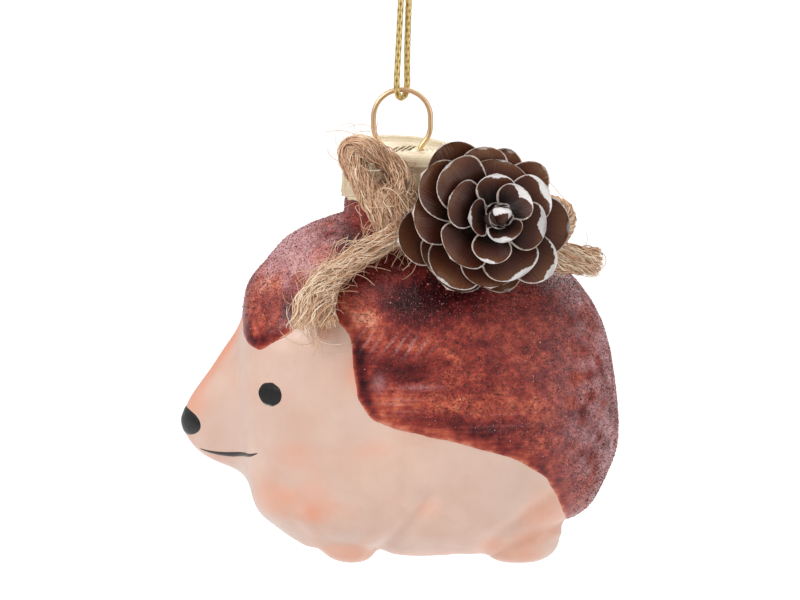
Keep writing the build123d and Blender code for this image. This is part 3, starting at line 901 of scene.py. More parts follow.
@dataclass
class HangingCord:
    """The gold cord: up from the ring in two taut strands to its knot."""

    route: tuple[tuple[float, float, float], ...] = (
        (-0.0007, -0.0001, 0.0012), (-0.0017, -0.0011, -0.0185), (-0.0022, -0.0018, -0.02715),
        (0.0003, 0.0018, -0.02715), (0.0, 0.0011, -0.0185), (0.0008, 0.0001, 0.0012))
    radius: float = 0.66
    threads: int = 8
    lay_mm: float = 2.6
    step_mm: float = 0.13
    sides: int = 28
    knot_size: float = 0.46
    knot_rise: float = 0.75

    def centre_line(self) -> np.ndarray:
        """Read points from the cord's own smooth curve.

        Returns:
            Points in millimetres.
        """
        curve = bpy.data.curves.new("cord_line", "CURVE")
        curve.dimensions = "3D"
        curve.resolution_u = 48
        spline = curve.splines.new("NURBS")
        spline.points.add(len(self.route) - 1)
        for point, place in zip(spline.points, self.route):
            point.co = (*place, 1.0)
        spline.order_u = 3
        spline.use_endpoint_u = True
        holder = add_object("cord_line", curve)
        bpy.context.view_layer.update()
        mesh = bpy.data.meshes.new_from_object(holder)
        line = np.array([tuple(v.co) for v in mesh.vertices]) / MM
        bpy.data.objects.remove(holder)
        bpy.data.curves.remove(curve)
        bpy.data.meshes.remove(mesh)
        return line

    def braid(self, line: np.ndarray, radius: float) -> tuple[np.ndarray, list, np.ndarray]:
        """Wrap a line in a braided tube.

        Args:
            line: The centre line, in millimetres.
            radius: The tube's outer radius.

        Returns:
            Points, faces and each point's height on its thread, from 0 to 1.
        """
        length = run_lengths(line)[-1]
        count = int(length / self.step_mm)
        wanted = np.linspace(0, length, count)
        line = resample(line, wanted)
        _, normal, across = frames_along(line)
        sides = self.sides
        turn = np.arange(sides) * 2 * math.pi / sides
        phase = wanted[:, None] / self.lay_mm * 2 * math.pi
        right = 0.5 + 0.5 * np.cos(self.threads / 2 * turn[None] - phase)
        left = 0.5 + 0.5 * np.cos(self.threads / 2 * turn[None] + phase)
        crown = np.maximum(right, left) ** 0.8 * (0.55 + 0.45 * np.abs(right - left))
        reach = radius * (0.84 + 0.16 * crown)
        ring = line[:, None] + reach[..., None] * (np.cos(turn)[None, :, None] * normal[:, None]
                                                   + np.sin(turn)[None, :, None] * across[:, None])
        faces = ring_faces(count, sides).tolist()
        faces.append(list(range(sides))[::-1])
        faces.append([(count - 1) * sides + k for k in range(sides)])
        return ring.reshape(-1, 3), faces, crown.ravel()

    def knot_line(self) -> np.ndarray:
        """Tie an overhand knot just above the hanging point, with both ends cut short.

        Returns:
            Points in millimetres.
        """
        t = np.linspace(0.35, 2 * math.pi - 0.1, 90)
        loop = np.stack([self.knot_size * (np.sin(t) + 2 * np.sin(2 * t)),
                         self.knot_size * (np.cos(t) - 2 * np.cos(2 * t)),
                         2.3 - self.knot_rise * np.sin(3 * t)], axis=1)
        start = np.array([[-0.6, 0.0, 0.6]])
        end = np.array([[1.0, 0.2, 4.6], [1.7, 0.2, 6.6], [2.1, 0.2, 7.6]])
        return smooth_line([tuple(p) for p in np.vstack([start, loop[::6], end])], 160)

    def build(self) -> None:
        """Build the cord and its knot."""
        finish = MetallicBraid().make()
        line = self.centre_line()
        points, faces, crown = self.braid(line, self.radius)
        cord = build_piece("hanging_cord_braid", points, faces, finish, Body.HANGER,
                           {"crown": crown}, ("hanging_cord",))
        points, faces, crown = self.braid(self.knot_line(), self.radius)
        knot = build_piece("cord_knot_braid", points, faces, finish, Body.HANGER,
                           {"crown": crown}, ("cord_knot",))


@dataclass
class GlassBody:
    """The blown body: its own painted skin, the beaded coat over it and the enamel face."""

    voxel: float = 0.46
    coat_mm: float = 0.42
    neck_top: float = -38.6
    neck_height: float = 18.0
    neck_keep: float = 12.5
    bead_count: int = 26000
    cheek_x: float = -33.5
    cheek_reach: float = 5.0
    nose_z: float = -94.3
    nose_half_length: float = 4.3
    nose_half_height: float = 2.9
    eye_x: float = -27.45
    eye_z: float = -84.25
    eye_radius: float = 2.36
    edge_shares: tuple[tuple[float, float], ...] = (
        (0.142, 0.710), (0.153, 0.656), (0.185, 0.638), (0.220, 0.662), (0.247, 0.683),
        (0.272, 0.706), (0.306, 0.732), (0.342, 0.745), (0.374, 0.721), (0.394, 0.687),
        (0.398, 0.644), (0.400, 0.610), (0.408, 0.538), (0.417, 0.511), (0.437, 0.474),
        (0.459, 0.456), (0.506, 0.438), (0.572, 0.418), (0.619, 0.405), (0.663, 0.388),
        (0.710, 0.372), (0.755, 0.352), (0.792, 0.324), (0.826, 0.290), (0.850, 0.242),
        (0.868, 0.182), (0.888, 0.106))

    def closed_skin(self) -> bpy.types.Object:
        """Take the outer skin of the CAD glass, close it and stand a solid neck on it.

        Returns:
            The closed skin, as a working object.
        """
        work = bmesh.new()
        work.from_mesh(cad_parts["glass_body"].data)
        bmesh.ops.remove_doubles(work, verts=work.verts, dist=1e-6)
        neck_cut = (CROWN_Z + 0.6) * MM
        middles = ((f, f.calc_center_median()) for f in work.faces)
        gone = [f for f, at in middles
                if at.z > neck_cut and math.hypot(at.x - AXIS_X * MM, at.y) < self.neck_keep * MM]
        bmesh.ops.delete(work, geom=gone, context="FACES")
        seen, islands = set(), []
        for face in work.faces:
            if face.index in seen:
                continue
            island, todo = [], [face]
            seen.add(face.index)
            while todo:
                here = todo.pop()
                island.append(here)
                for edge in here.edges:
                    for other in edge.link_faces:
                        if other.index not in seen:
                            seen.add(other.index)
                            todo.append(other)
            islands.append(island)
        width = [np.ptp([v.co.x for face in island for v in face.verts]) for island in islands]
        keep = {f.index for f in islands[int(np.argmax(width))]}
        bmesh.ops.delete(work, geom=[f for f in work.faces if f.index not in keep], context="FACES")
        rim = [e for e in work.edges if e.is_boundary]
        bmesh.ops.contextual_create(work, geom=rim)
        made = bmesh.ops.create_cone(work, cap_ends=True, segments=96, radius1=NECK_RADIUS * MM,
                                     radius2=NECK_RADIUS * MM, depth=self.neck_height * MM)
        centre = Vector((AXIS_X, 0, self.neck_top - self.neck_height / 2))
        bmesh.ops.translate(work, verts=made["verts"], vec=centre * MM)
        mesh = bpy.data.meshes.new("skin_work")
        work.to_mesh(mesh)
        work.free()
        return add_object("skin_work", mesh)

    def fine_surface(self) -> tuple[np.ndarray, np.ndarray, np.ndarray]:
        """Remesh the closed skin finely and smooth it.

        Returns:
            Points in millimetres, unit normals and four-cornered faces.
        """
        skin = self.closed_skin()
        remesh = skin.modifiers.new("remesh", "REMESH")
        remesh.mode, remesh.voxel_size = "VOXEL", self.voxel * 1 * MM
        ease = skin.modifiers.new("ease", "SMOOTH")
        ease.factor, ease.iterations = 0.5, 12
        bpy.context.view_layer.update()
        mesh = bpy.data.meshes.new_from_object(skin.evaluated_get(bpy.context.evaluated_depsgraph_get()))
        points = np.zeros(len(mesh.vertices) * 3)
        mesh.vertices.foreach_get("co", points)
        normals = np.zeros(len(mesh.vertices) * 3)
        mesh.vertex_normals.foreach_get("vector", normals)
        faces = np.array([list(f.vertices) for f in mesh.polygons if len(f.vertices) == 4])
        bpy.data.objects.remove(skin)
        bpy.data.meshes.remove(mesh)
        return points.reshape(-1, 3) / MM, normals.reshape(-1, 3), faces

    def coat_edge(self) -> np.ndarray:
        """Draw the coat's edge in side view, from far before the brow to far behind the rump.

        Returns:
            Points as x and z, in millimetres.
        """
        edge = [(NOSE_X + a * BODY_LENGTH, 0.0, FEET_Z + b * BODY_HEIGHT) for a, b in self.edge_shares]
        fine = smooth_line(edge, 160)[:, [0, 2]]
        beyond = np.array([BODY_LENGTH / 2, 0.0])
        return np.vstack([fine[0] - beyond, fine, fine[-1] + beyond])

    def coat_reach(self, points: np.ndarray) -> np.ndarray:
        """How far each point lies inside the coat's edge, in millimetres; less than zero is bare.

        Args:
            points: Points on the body.

        Returns:
            One signed distance for each.
        """
        edge = self.coat_edge()
        flat = points[:, [0, 2]]
        best = np.full(len(flat), 1e9)
        inside = np.zeros(len(flat), bool)
        top = np.array([0.0, 95.0])
        loop = np.vstack([edge, edge[-1] + top, edge[0] + top])
        for i in range(len(loop)):
            a, b = loop[i], loop[(i + 1) % len(loop)]
            if i < len(edge) - 1:
                best = np.minimum(best, off_segment(flat, a, b))
            crosses = (a[1] > flat[:, 1]) != (b[1] > flat[:, 1])
            with np.errstate(divide="ignore", invalid="ignore"):
                at = (b[0] - a[0]) * (flat[:, 1] - a[1]) / (b[1] - a[1]) + a[0]
            inside ^= crosses & (flat[:, 0] < at)
        return np.where(inside, best, -best)

    def spots(self, points: np.ndarray, marks: list[tuple[float, float, float, float, float]]) -> np.ndarray:
        """Add up soft oval spots in side view.

        Args:
            points: Points on the body.
            marks: For each spot its x, z, half width, half height and strength.

        Returns:
            The sum at each point.
        """
        total = np.zeros(len(points))
        for x, z, wide, high, strength in marks:
            total += strength * np.exp(-((points[:, 0] - x) / wide) ** 2 - ((points[:, 2] - z) / high) ** 2)
        return total

    def carve(self, points: np.ndarray, normals: np.ndarray) -> np.ndarray:
        """Press the creases of the legs and raise the ear under the twine.

        Args:
            points: Points on the body.
            normals: Its normals.

        Returns:
            The moved points.
        """
        push = np.zeros(len(points))
        flat = points[:, [0, 2]]
        creases = (
            ([(4.5, -104.5), (1.0, -109.5), (-3.0, -115.0), (-6.0, -118.5)], 1.9, 1.0),
            ([(29.0, -105.5), (24.0, -109.0), (18.5, -113.5), (15.5, -117.5)], 1.8, 0.9),
            ([(-23.0, -112.5), (-20.5, -116.0), (-18.0, -119.0)], 2.0, 0.6),
            ([(-27.5, -100.5), (-25.0, -104.0), (-23.5, -108.0)], 2.4, 0.45))
        for route, width, depth in creases:
            near = np.full(len(points), 1e9)
            for a, b in zip(route, route[1:]):
                near = np.minimum(near, off_segment(flat, np.array(a), np.array(b)))
            push -= depth * np.exp(-(near / width) ** 2)
        side = smoothstep(4, 12, np.abs(points[:, 1]))
        push *= side
        # The shoulder slopes straighter, chest and rear foot stand further in, the belly hangs lower
        push += self.spots(points, [(-30.5, -60.8, 5.0, 5.0, -1.35), (-35.5, -70.0, 5.0, 7.0, -0.6),
                                    (-28.5, -115.5, 4.0, 4.0, -0.8), (33.5, -117.0, 5.0, 4.0, -1.9),
                                    (17.5, -119.0, 5.0, 4.0, 1.5), (3.0, -119.5, 8.0, 4.0, 0.8),
                                    (-19.5, -118.5, 3.0, 3.0, 1.2), (-29.0, -104.5, 2.5, 2.2, -0.7)])
        push += side * self.spots(points, [(-13.4, -74.6, 3.4, 5.0, 1.0), (27.5, -110.5, 5.0, 4.0, 0.5),
                                           (-12.0, -112.0, 5.5, 5.0, 0.45)])
        push += 0.10 * lattice_noise(points, 7.0, 3) + 0.04 * lattice_noise(points, 2.6, 4)
        return points + normals * push[:, None]

    def ease(self, points: np.ndarray, faces: np.ndarray) -> np.ndarray:
        """Let the snout run softly into the cheeks.

        Args:
            points: Points on the body.
            faces: Its faces.

        Returns:
            The eased points.
        """
        share = np.exp(-((points[:, 0] - self.cheek_x) / self.cheek_reach) ** 2)[:, None]
        links = np.vstack([faces[:, [k, (k + 1) % 4]] for k in range(4)])
        count = np.bincount(links[:, 0], minlength=len(points))[:, None]
        for _ in range(80):
            total = [np.bincount(links[:, 0], points[links[:, 1], k], len(points)) for k in range(3)]
            mean = np.stack(total, axis=1)
            points = points + 0.6 * share * (mean / np.maximum(count, 1) - points) * (count > 0)
        return points

    def paint_skin(self, points: np.ndarray) -> dict[str, np.ndarray]:
        """Say where the airbrush shaded the bare lacquer, and where grey mottling and painted shade darken
        it.

        Args:
            points: Points on the body.

        Returns:
            Values for the lacquer by name.
        """
        x, y, z = points.T
        seam = np.exp(-(np.abs(y) / 4.6) ** 2)
        front = smoothstep(-14, -30, x)
        under = smoothstep(-108, -119, z)
        brow = np.exp(-(np.abs(y) / 6.5) ** 2) * smoothstep(-92, -76, z) * front
        blush = 0.6 * seam * front + 0.5 * seam * under + 0.6 * brow
        blush += smoothstep(-115.5, -120.5, z) * 0.3
        blush += self.spots(points, [
            (-27.0, -108.0, 4.5, 5.5, 0.2), (-19.1, -108.5, 2.4, 2.2, 0.35), (-24.2, -105.2, 2.4, 1.8, 0.25),
            (16.8, -115.4, 2.8, 2.2, 0.4), (26.5, -115.0, 5.0, 3.2, 0.16), (-11.0, -116.5, 5.0, 2.4, 0.25),
            (31.5, -111.0, 3.5, 4.0, 0.3), (-16.5, -71.0, 2.4, 2.6, 0.35), (4.0, -106.5, 3.2, 2.4, 0.2),
            (-10.6, -79.0, 1.8, 8.0, 0.25), (-3.0, -94.0, 7.0, 2.2, 0.16), (-38.0, -101.5, 5.0, 2.2, 0.3),
            (-24.0, -107.0, 11.0, 9.0, 0.12), (12.0, -98.0, 8.0, 2.0, 0.12), (28.0, -108.0, 5.0, 5.0, 0.2),
            (-14.0, -103.0, 6.0, 4.0, 0.1), (-22.0, -94.0, 5.0, 5.0, 0.1)])
        blush += 0.18 * lattice_noise(points, 6.0, 11)
        # Grey: random mottling, plus painted shade in the dents by the front and rear legs and on the cheek
        dusk = 0.35 + 0.35 * lattice_noise(points, 10.0, 12) + self.spots(points, [
            (-11.3, -114.2, 2.2, 2.0, 0.5), (24.5, -112.8, 3.0, 1.6, 0.5), (-26.0, -92.0, 8.0, 7.0, 0.25)])
        shade = np.clip(blush, 0, 1)
        return {"blush": shade, "blush_gate": smoothstep(0.02, 0.25, shade), "dusk": np.clip(dusk, 0, 0.75)}

    def paint_coat(self, points: np.ndarray, reach: np.ndarray) -> dict[str, np.ndarray]:
        """Say how thick, pale, brushed and strewn the coat is; its paleness is partly painted sheen and
        painted highlights.

        Args:
            points: Points on the coat.
            reach: Their distance inside its edge.

        Returns:
            Values for the varnish by name.
        """
        x, _, z = points.T
        depth = 0.47 + 0.1 * lattice_noise(points, (9.0, 9.0, 5.0), 21)
        depth = depth + 0.1 * lattice_noise(points, (5.0, 5.0, 1.5), 22)
        depth += 0.14 * lattice_noise(points, 1.7, 23) + 0.14 * lattice_noise(points, 0.8, 26)
        depth += self.spots(points, [
            (-0.5, -66.0, 6.0, 4.0, 0.42), (9.0, -64.5, 9.0, 4.5, 0.5), (14.0, -58.0, 14.0, 4.0, 0.45),
            (-0.6, -78.4, 4.6, 2.2, 0.45), (-22.5, -67.5, 3.0, 3.2, 0.34), (-11.5, -55.0, 4.0, 2.0, 0.5),
            (8.5, -88.4, 5.0, 1.4, 0.24), (15.0, -90.6, 5.5, 1.6, 0.28), (22.5, -93.4, 6.0, 2.0, 0.15),
            (38.0, -92.0, 6.0, 9.0, 0.22), (32.0, -64.0, 8.0, 6.0, 0.22)])
        depth -= self.spots(points, [
            (-1.8, -84.2, 5.5, 2.4, 0.32), (-7.5, -68.5, 4.2, 4.0, 0.46), (-0.5, -73.6, 6.0, 1.5, 0.2),
            (13.0, -85.3, 8.5, 2.3, 0.16), (-17.0, -58.5, 3.5, 2.2, 0.3), (-27.5, -63.5, 3.0, 2.5, 0.25),
            (24.0, -93.0, 6.0, 1.5, 0.12), (-29.5, -71.5, 2.6, 2.6, 0.22), (20.0, -78.0, 7.0, 5.0, 0.09),
            (-29.0, -66.0, 8.0, 8.0, 0.13)])
        left = smoothstep(-4.0, -8.0, x) * smoothstep(-69.0, -73.0, z)
        low = (1 - left) * smoothstep(22, 12, x) * smoothstep(-78.0, -84.0, z)
        depth += 0.4 * left * np.exp(-((reach - 1.5) / 1.0) ** 2)
        depth -= 0.28 * low * np.exp(-((reach - 1.3) / 1.2) ** 2)
        depth -= 0.35 * np.exp(-(reach / 0.45) ** 2)
        up = smoothstep(-66, -56, z)
        # Pale frost on the rump and the shoulder: partly the frosted beads, partly painted sheen where these
        # surfaces turn away towards the silhouette
        frost = 0.34 * smoothstep(24, 43, x) * smoothstep(-118, -95, z) + 0.55 * up * smoothstep(-9, -24, x)
        frost += 0.4 * np.exp(-((x + 27.0) / 9.0) ** 2 - ((z + 58.0) / 6.0) ** 2)
        frost += 0.45 * lattice_noise(points, 2.2, 24) * smoothstep(0.05, 0.3, frost)
        # Painted highlights: slanted pale strokes where the brush marks catch the light; below them, fine
        # level pale lines in the thin varnish
        slant = (x * 0.8 - z * 0.6) * 3.4 + 1.5 * lattice_noise(points, 2.5, 27)
        frost += 0.5 * smoothstep(0.35, 0.9, np.sin(slant)) * self.spots(points, [
            (0.5, -73.4, 4.5, 1.7, 1.0), (-7.5, -72.0, 2.0, 2.5, 0.6)])
        lines = smoothstep(0.4, 0.9, np.sin(z * 5.6 + 1.2 * lattice_noise(points, (6.0, 6.0, 2.0), 28)))
        frost += 0.28 * lines * self.spots(points, [
            (-1.6, -84.2, 4.5, 2.6, 1.0), (19.0, -88.5, 7.0, 2.5, 0.4)])
        frost += self.spots(points, [(-5.5, -80.8, 1.2, 1.6, 0.35), (3.0, -81.5, 3.5, 0.5, 0.3)])
        brushed = np.exp(-(np.maximum(reach - 3.0, 0) / 2.5) ** 2) + self.spots(points, [
            (-2.0, -84.5, 6.0, 3.0, 0.8), (0.0, -74.5, 6.0, 2.5, 0.6)])
        beads = smoothstep(0.8, 5.0, reach) * (0.75 + 0.25 * lattice_noise(points, 5.0, 25))
        beads *= 1 - 0.7 * np.exp(-((x + 2.0) / 6.0) ** 2 - ((z + 84.5) / 3.0) ** 2)
        flecks = np.clip(beads, 0, 1) * (0.35 + self.spots(points, [
            (14.0, -84.0, 9.0, 3.5, 1.0), (2.0, -79.0, 6.0, 3.0, 0.8), (8.0, -72.0, 8.0, 4.0, 0.6)]))
        return {"depth": np.clip(depth, 0, 1), "frost": np.clip(frost, 0, 0.8),
                "brushed": np.clip(brushed, 0, 1), "beads": np.clip(beads, 0, 1),
                "flecks": np.clip(flecks, 0, 1)}

    def build_coat(self, points: np.ndarray, normals: np.ndarray, faces: np.ndarray,
                   reach: np.ndarray) -> None:
        """Raise the coat over the skin; its edge is where it rises out of the lacquer.

        Args:
            points: Points on the body.
            normals: Its normals.
            faces: Its faces.
            reach: Its points' distance inside the coat's edge.
        """
        ragged = reach + 0.16 * lattice_noise(points, 2.4, 31) + 0.05 * lattice_noise(points, 0.9, 32)
        keep = (ragged[faces] > -1.6).all(1) & (points[faces][:, :, 2] < SKIRT_Z + 1.4).all(1)
        used, patch = cut_patch(faces, keep)
        lift = np.interp(ragged[used], [-1.6, -0.3, 0.0, 0.3, 1.6], [-0.5, -0.3, 0.0, 0.26, self.coat_mm])
        lift = np.where(points[used][:, 2] > SKIRT_Z - 0.4, np.minimum(lift, 0.25), lift)
        rough = 0.05 * lattice_noise(points[used], 0.9, 33)
        rough = rough + 0.05 * lattice_noise(points[used], (4.0, 4.0, 0.9), 34)
        lift += rough * smoothstep(0.2, 1.5, ragged[used])
        raised = points[used] + normals[used] * lift[:, None]
        values = self.paint_coat(points[used], ragged[used])
        build_piece("bead_coat_varnish", raised, patch, BeadedVarnish().make(), Body.ORNAMENT,
                    values, ("bead_coat",))
        self.strew_beads(raised, normals[used], patch, values["beads"], values["frost"] - values["flecks"])

    def strew_beads(self, points: np.ndarray, normals: np.ndarray, faces: np.ndarray, beads: np.ndarray,
                    frost: np.ndarray) -> None:
        """Set single beads in the coat.

        Args:
            points: Points on the coat.
            normals: Its normals.
            faces: Its faces.
            beads: How strewn it is at each point.
            frost: How pale its beads are at each point; below zero they are darker.
        """
        rng = np.random.default_rng(7)
        corner = points[faces]
        area = np.linalg.norm(np.cross(corner[:, 2] - corner[:, 0], corner[:, 3] - corner[:, 1]), axis=1)
        odds = area * (beads[faces].mean(1) ** 1.5 + 0.012)
        picked = rng.choice(len(faces), self.bead_count // (1), p=odds / odds.sum())
        blend = rng.dirichlet((1, 1, 1, 1), len(picked))
        centre = (corner[picked] * blend[..., None]).sum(1)
        out = (normals[faces[picked]] * blend[..., None]).sum(1)
        radius = rng.uniform(0.07, 0.14, len(picked)) * np.where(rng.random(len(picked)) < 0.02, 1.6, 1.0)
        centre += out * radius[:, None] * 0.35
        shape = bmesh.new()
        bmesh.ops.create_icosphere(shape, subdivisions=1, radius=1.0)
        ball = np.array([tuple(v.co) for v in shape.verts])
        ball_faces = np.array([[v.index for v in f.verts] for f in shape.faces])
        shape.free()
        every = centre[:, None] + radius[:, None, None] * ball[None]
        joined = (np.arange(len(picked))[:, None, None] * len(ball) + ball_faces[None]).reshape(-1, 3)
        tone = np.clip(rng.random(len(picked)) + 0.3 * frost[faces[picked]].mean(1), 0, 1)
        build_piece("bead_coat_beads", every.reshape(-1, 3), joined, LooseBead().make(), Body.ORNAMENT,
                    {"tone": np.repeat(tone, len(ball))})

    def build(self) -> None:
        """Build skin, coat, beads and face."""
        points, normals, faces = self.fine_surface()
        points = self.ease(self.carve(points, normals), faces)
        reach = self.coat_reach(points)
        build_piece("glass_skin", points, faces, PearlLacquer().make(), Body.ORNAMENT,
                    self.paint_skin(points), ("glass_body",))
        self.build_coat(points, normals, faces, reach)
        black = Enamel("#0D0B0C", "#1E191A", "Black gloss enamel, dabbed on").make()
        self.dab_nose(points, normals, faces, black)
        self.paint_face(BVHTree.FromPolygons(points.tolist(), faces.tolist()), black)

    def stroke(self, skin: BVHTree, name: str, route: list[tuple[float, float]], widths: list[float],
               side: int, material: bpy.types.Material) -> None:
        """Lay one stroke of paint on the skin.

        Args:
            skin: The body's skin.
            name: The CAD node the stroke stands for.
            route: Its line in side view, as x and z.
            widths: Half its width at each of those points.
            side: -1 for the animal's left, 1 for its right.
            material: The paint.
        """
        steps, across = 48, 9
        line = smooth_line([(x, 0.0, z) for x, z in route], steps)[:, [0, 2]]
        length = run_lengths(np.array(route))
        half = np.interp(np.linspace(0, length[-1], steps), length, widths)
        heading = np.gradient(line, axis=0)
        heading /= np.linalg.norm(heading, axis=1)[:, None]
        normal = np.stack([-heading[:, 1], heading[:, 0]], axis=1)
        top, low = [], []
        for i in range(steps):
            for v in np.linspace(-1, 1, across):
                x, z = line[i] + normal[i] * half[i] * v
                hit, out, _, _ = skin.ray_cast(Vector((x, side * 60.0, z)), Vector((0, -side, 0)))
                if hit is None:
                    hit, out, _, _ = skin.find_nearest(Vector((x, 0.0, z)))
                rise = 0.02 + 0.16 * math.sqrt(max(1 - v * v, 0.0)) * min(half[i] / 0.5, 1.0)
                top.append(tuple(hit + out * (rise if out.y * side > 0 else -rise)))
                low.append(tuple(hit - out * (0.3 if out.y * side > 0 else -0.3)))
        build_piece(name + "_paint", np.array(top + low), sheet_faces(steps, across), material,
                    Body.ORNAMENT, None, (name,))

    def dab_nose(self, points: np.ndarray, normals: np.ndarray, faces: np.ndarray,
                 material: bpy.types.Material) -> None:
        """Raise the dab of paint on the tip of the nose.

        Args:
            points: Points on the body.
            normals: Its normals.
            faces: Its faces.
            material: The paint.
        """
        along = (points[:, 0] - NOSE_X) / self.nose_half_length
        up = (points[:, 2] - self.nose_z) / self.nose_half_height
        away = (along ** 2 + up ** 2) ** 0.5
        keep = (away[faces] < 1.25).all(1)
        used, patch = cut_patch(faces, keep)
        lift = np.interp(away[used], [0.0, 0.8, 1.0, 1.25], [0.3, 0.22, 0.0, -0.35])
        build_piece("nose_tip_paint", points[used] + normals[used] * lift[:, None], patch, material,
                    Body.ORNAMENT, None, ("nose_tip",))

    def paint_face(self, skin: BVHTree, black: bpy.types.Material) -> None:
        """Paint the eyes and the mouth.

        Args:
            skin: The body's skin.
            black: The eyes' paint.
        """
        brown = Enamel("#1C100D", "#3A2119", "Dark brown enamel, brushed on").make()
        turn = np.sin(np.linspace(-math.pi / 2, math.pi / 2, 25))
        eye = [(self.eye_x + self.eye_radius * t, self.eye_z) for t in turn]
        # The rim wavers a little, as a hand-painted dot does
        rim = [self.eye_radius * math.sqrt(1 - t * t) + 0.05 * math.sin(9 * t) for t in turn]
        heights = [max(half, 0.04) for half in rim]
        mouth = [(-42.6, -99.75), (-40.4, -99.95), (-38.1, -99.9), (-35.7, -99.55), (-32.9, -98.5),
                 (-30.2, -96.9)]
        for side, label in ((-1, "left"), (1, "right")):
            self.stroke(skin, "eye_" + label, eye, heights, side, black)
            self.stroke(skin, "mouth_" + label, mouth, [0.1, 0.3, 0.45, 0.55, 0.4, 0.1], side, brown)


@dataclass
class CapAndRing:
    """The pressed cap and its spring wire ring."""

    radius: float = 12.2
    height: float = 10.8
    sheet: float = 0.3
    rim_z: float = -37.0
    sideways: float = 3.5
    forward: float = 2.5
    flutes: int = 36
    scallops: int = 18
    vents: int = 4
    vent_width: float = 0.6
    vent_length: float = 7.2
    vent_turn: float = -0.3
    hole_radius: float = 0.7
    hole_x: float = 3.8
    cut_z: float = -0.8
    cut_depth: float = 3.0
    sides: int = 288
    stations: int = 130
    groove_depth: float = 0.07
    groove_pitch: float = 1.05

    def profile(self) -> list[tuple[float, float]]:
        """Half the outer section, as radius and height, from the middle of the top to the skirt's edge."""
        return [
            (0.25, -0.7), (2.0, -0.7), (4.0, -0.7), (6.0, -0.7), (8.0, -0.68), (8.6, -0.5),
            (8.9, -0.2), (9.3, -0.02), (10.0, 0.0), (10.8, 0.0), (11.5, -0.12), (12.0, -0.5),
            (12.2, -1.0), (12.28, -1.5), (12.42, -1.9), (12.28, -2.3), (12.18, -2.7), (12.18, -4.5),
            (12.18, -6.5), (12.18, -8.5), (12.22, -9.8), (12.3, -10.8)]

    def place(self, points: np.ndarray) -> np.ndarray:
        """Lean the cap, then set it on the neck's axis.

        Args:
            points: Points about the middle of the cap's top.

        Returns:
            The same points in the CAD frame.
        """
        lean, nod = math.radians(self.sideways), math.radians(self.forward)
        turned = turn_about("y", lean) @ turn_about("x", nod)
        pivot = np.array([0, 0, -self.height / 2])
        return (points - pivot) @ turned.T + pivot + np.array([AXIS_X, 0, self.rim_z])

    def shell(self) -> tuple[np.ndarray, list]:
        """The pressed sheet as a closed shell: flutes round the skirt, scallops along its edge.

        Returns:
            Points and faces.
        """
        steps = self.sides
        turn = np.arange(steps) * 2 * math.pi / steps
        rings = []
        section = np.array(self.profile())
        station = np.linspace(0, run_lengths(section)[-1], self.stations)
        outline = resample(section, station)
        # The rolled grooves of the top
        groove = np.cos(2 * math.pi * outline[:, 0] / self.groove_pitch) * (station < 11.5)
        outline[:, 1] += self.groove_depth * groove
        for inset in (0.0, self.sheet):
            for radius, z in outline if inset == 0 else outline[::-1]:
                start = smoothstep(-2.4, -3.4, np.array([z]))[0]
                flute = 0.24 * start * np.abs(np.sin(self.flutes / 2 * turn)) ** 0.8
                edge = 0.75 * np.abs(np.cos(self.scallops / 2 * turn)) ** 1.5 * (z < -10.0)
                r = np.maximum(radius - flute * (radius > 11) - (inset if radius > 11.8 else 0), 0.001)
                fall = z + edge * 0.6 - (inset if radius <= 11.8 else 0)
                rings.append(np.stack([r * np.cos(turn), r * np.sin(turn), fall + 0 * turn], axis=1))
        faces = ring_faces(len(rings), steps)[:, [0, 3, 2, 1]].tolist()
        last = (len(rings) - 1) * steps
        faces += [list(range(steps)), [last + k for k in range(steps)][::-1]]
        return np.vstack(rings), faces

    def cut_openings(self, cap: bpy.types.Object) -> None:
        """Cut the slanted vents and the wire's two holes through the top.

        Args:
            cap: The cap's shell.
        """
        cutter = bmesh.new()
        for i in range(self.vents):
            off = i - (self.vents - 1) / 2
            made = bmesh.ops.create_cube(cutter, size=1.0)
            size = Vector((self.vent_width, self.vent_length - 0.8 * abs(off), self.cut_depth))
            bmesh.ops.scale(cutter, verts=made["verts"], vec=size * MM)
            turned = Euler((0, 0, self.vent_turn)).to_matrix()
            bmesh.ops.rotate(cutter, verts=made["verts"], cent=(0, 0, 0), matrix=turned)
            centre = Vector((-0.1 + 1.2 * off, 0.2 + 0.7 * off, self.cut_z))
            bmesh.ops.translate(cutter, verts=made["verts"], vec=centre * MM)
        for side in (-1, 1):
            made = bmesh.ops.create_cone(cutter, cap_ends=True, segments=24, radius1=self.hole_radius * MM,
                                         radius2=self.hole_radius * MM, depth=self.cut_depth * MM)
            centre = Vector((side * self.hole_x, 0, self.cut_z))
            bmesh.ops.translate(cutter, verts=made["verts"], vec=centre * MM)
        mesh = bpy.data.meshes.new("cap_cutter")
        cutter.to_mesh(mesh)
        cutter.free()
        points = np.zeros(len(mesh.vertices) * 3)
        mesh.vertices.foreach_get("co", points)
        mesh.vertices.foreach_set("co", (self.place(points.reshape(-1, 3) / MM) * MM).ravel())
        tool = add_object("cap_cutter", mesh)
        cut = cap.modifiers.new("openings", "BOOLEAN")
        cut.operation, cut.object, cut.solver = "DIFFERENCE", tool, "EXACT"
        bpy.context.view_layer.update()
        finished = bpy.data.meshes.new_from_object(cap.evaluated_get(bpy.context.evaluated_depsgraph_get()))
        cap.modifiers.clear()
        cap.data = finished
        bpy.data.objects.remove(tool)

    def build(self) -> None:
        """Press the cap and dress the CAD wire."""
        finish = PressedCapSheet().make()
        points, faces = self.shell()
        cap = build_piece("crown_cap_pressed", self.place(points), faces, finish, Body.CAP,
                          None, ("crown_cap",))
        self.cut_openings(cap)
        dress_node("wire_bail", RoseGoldWire().make())


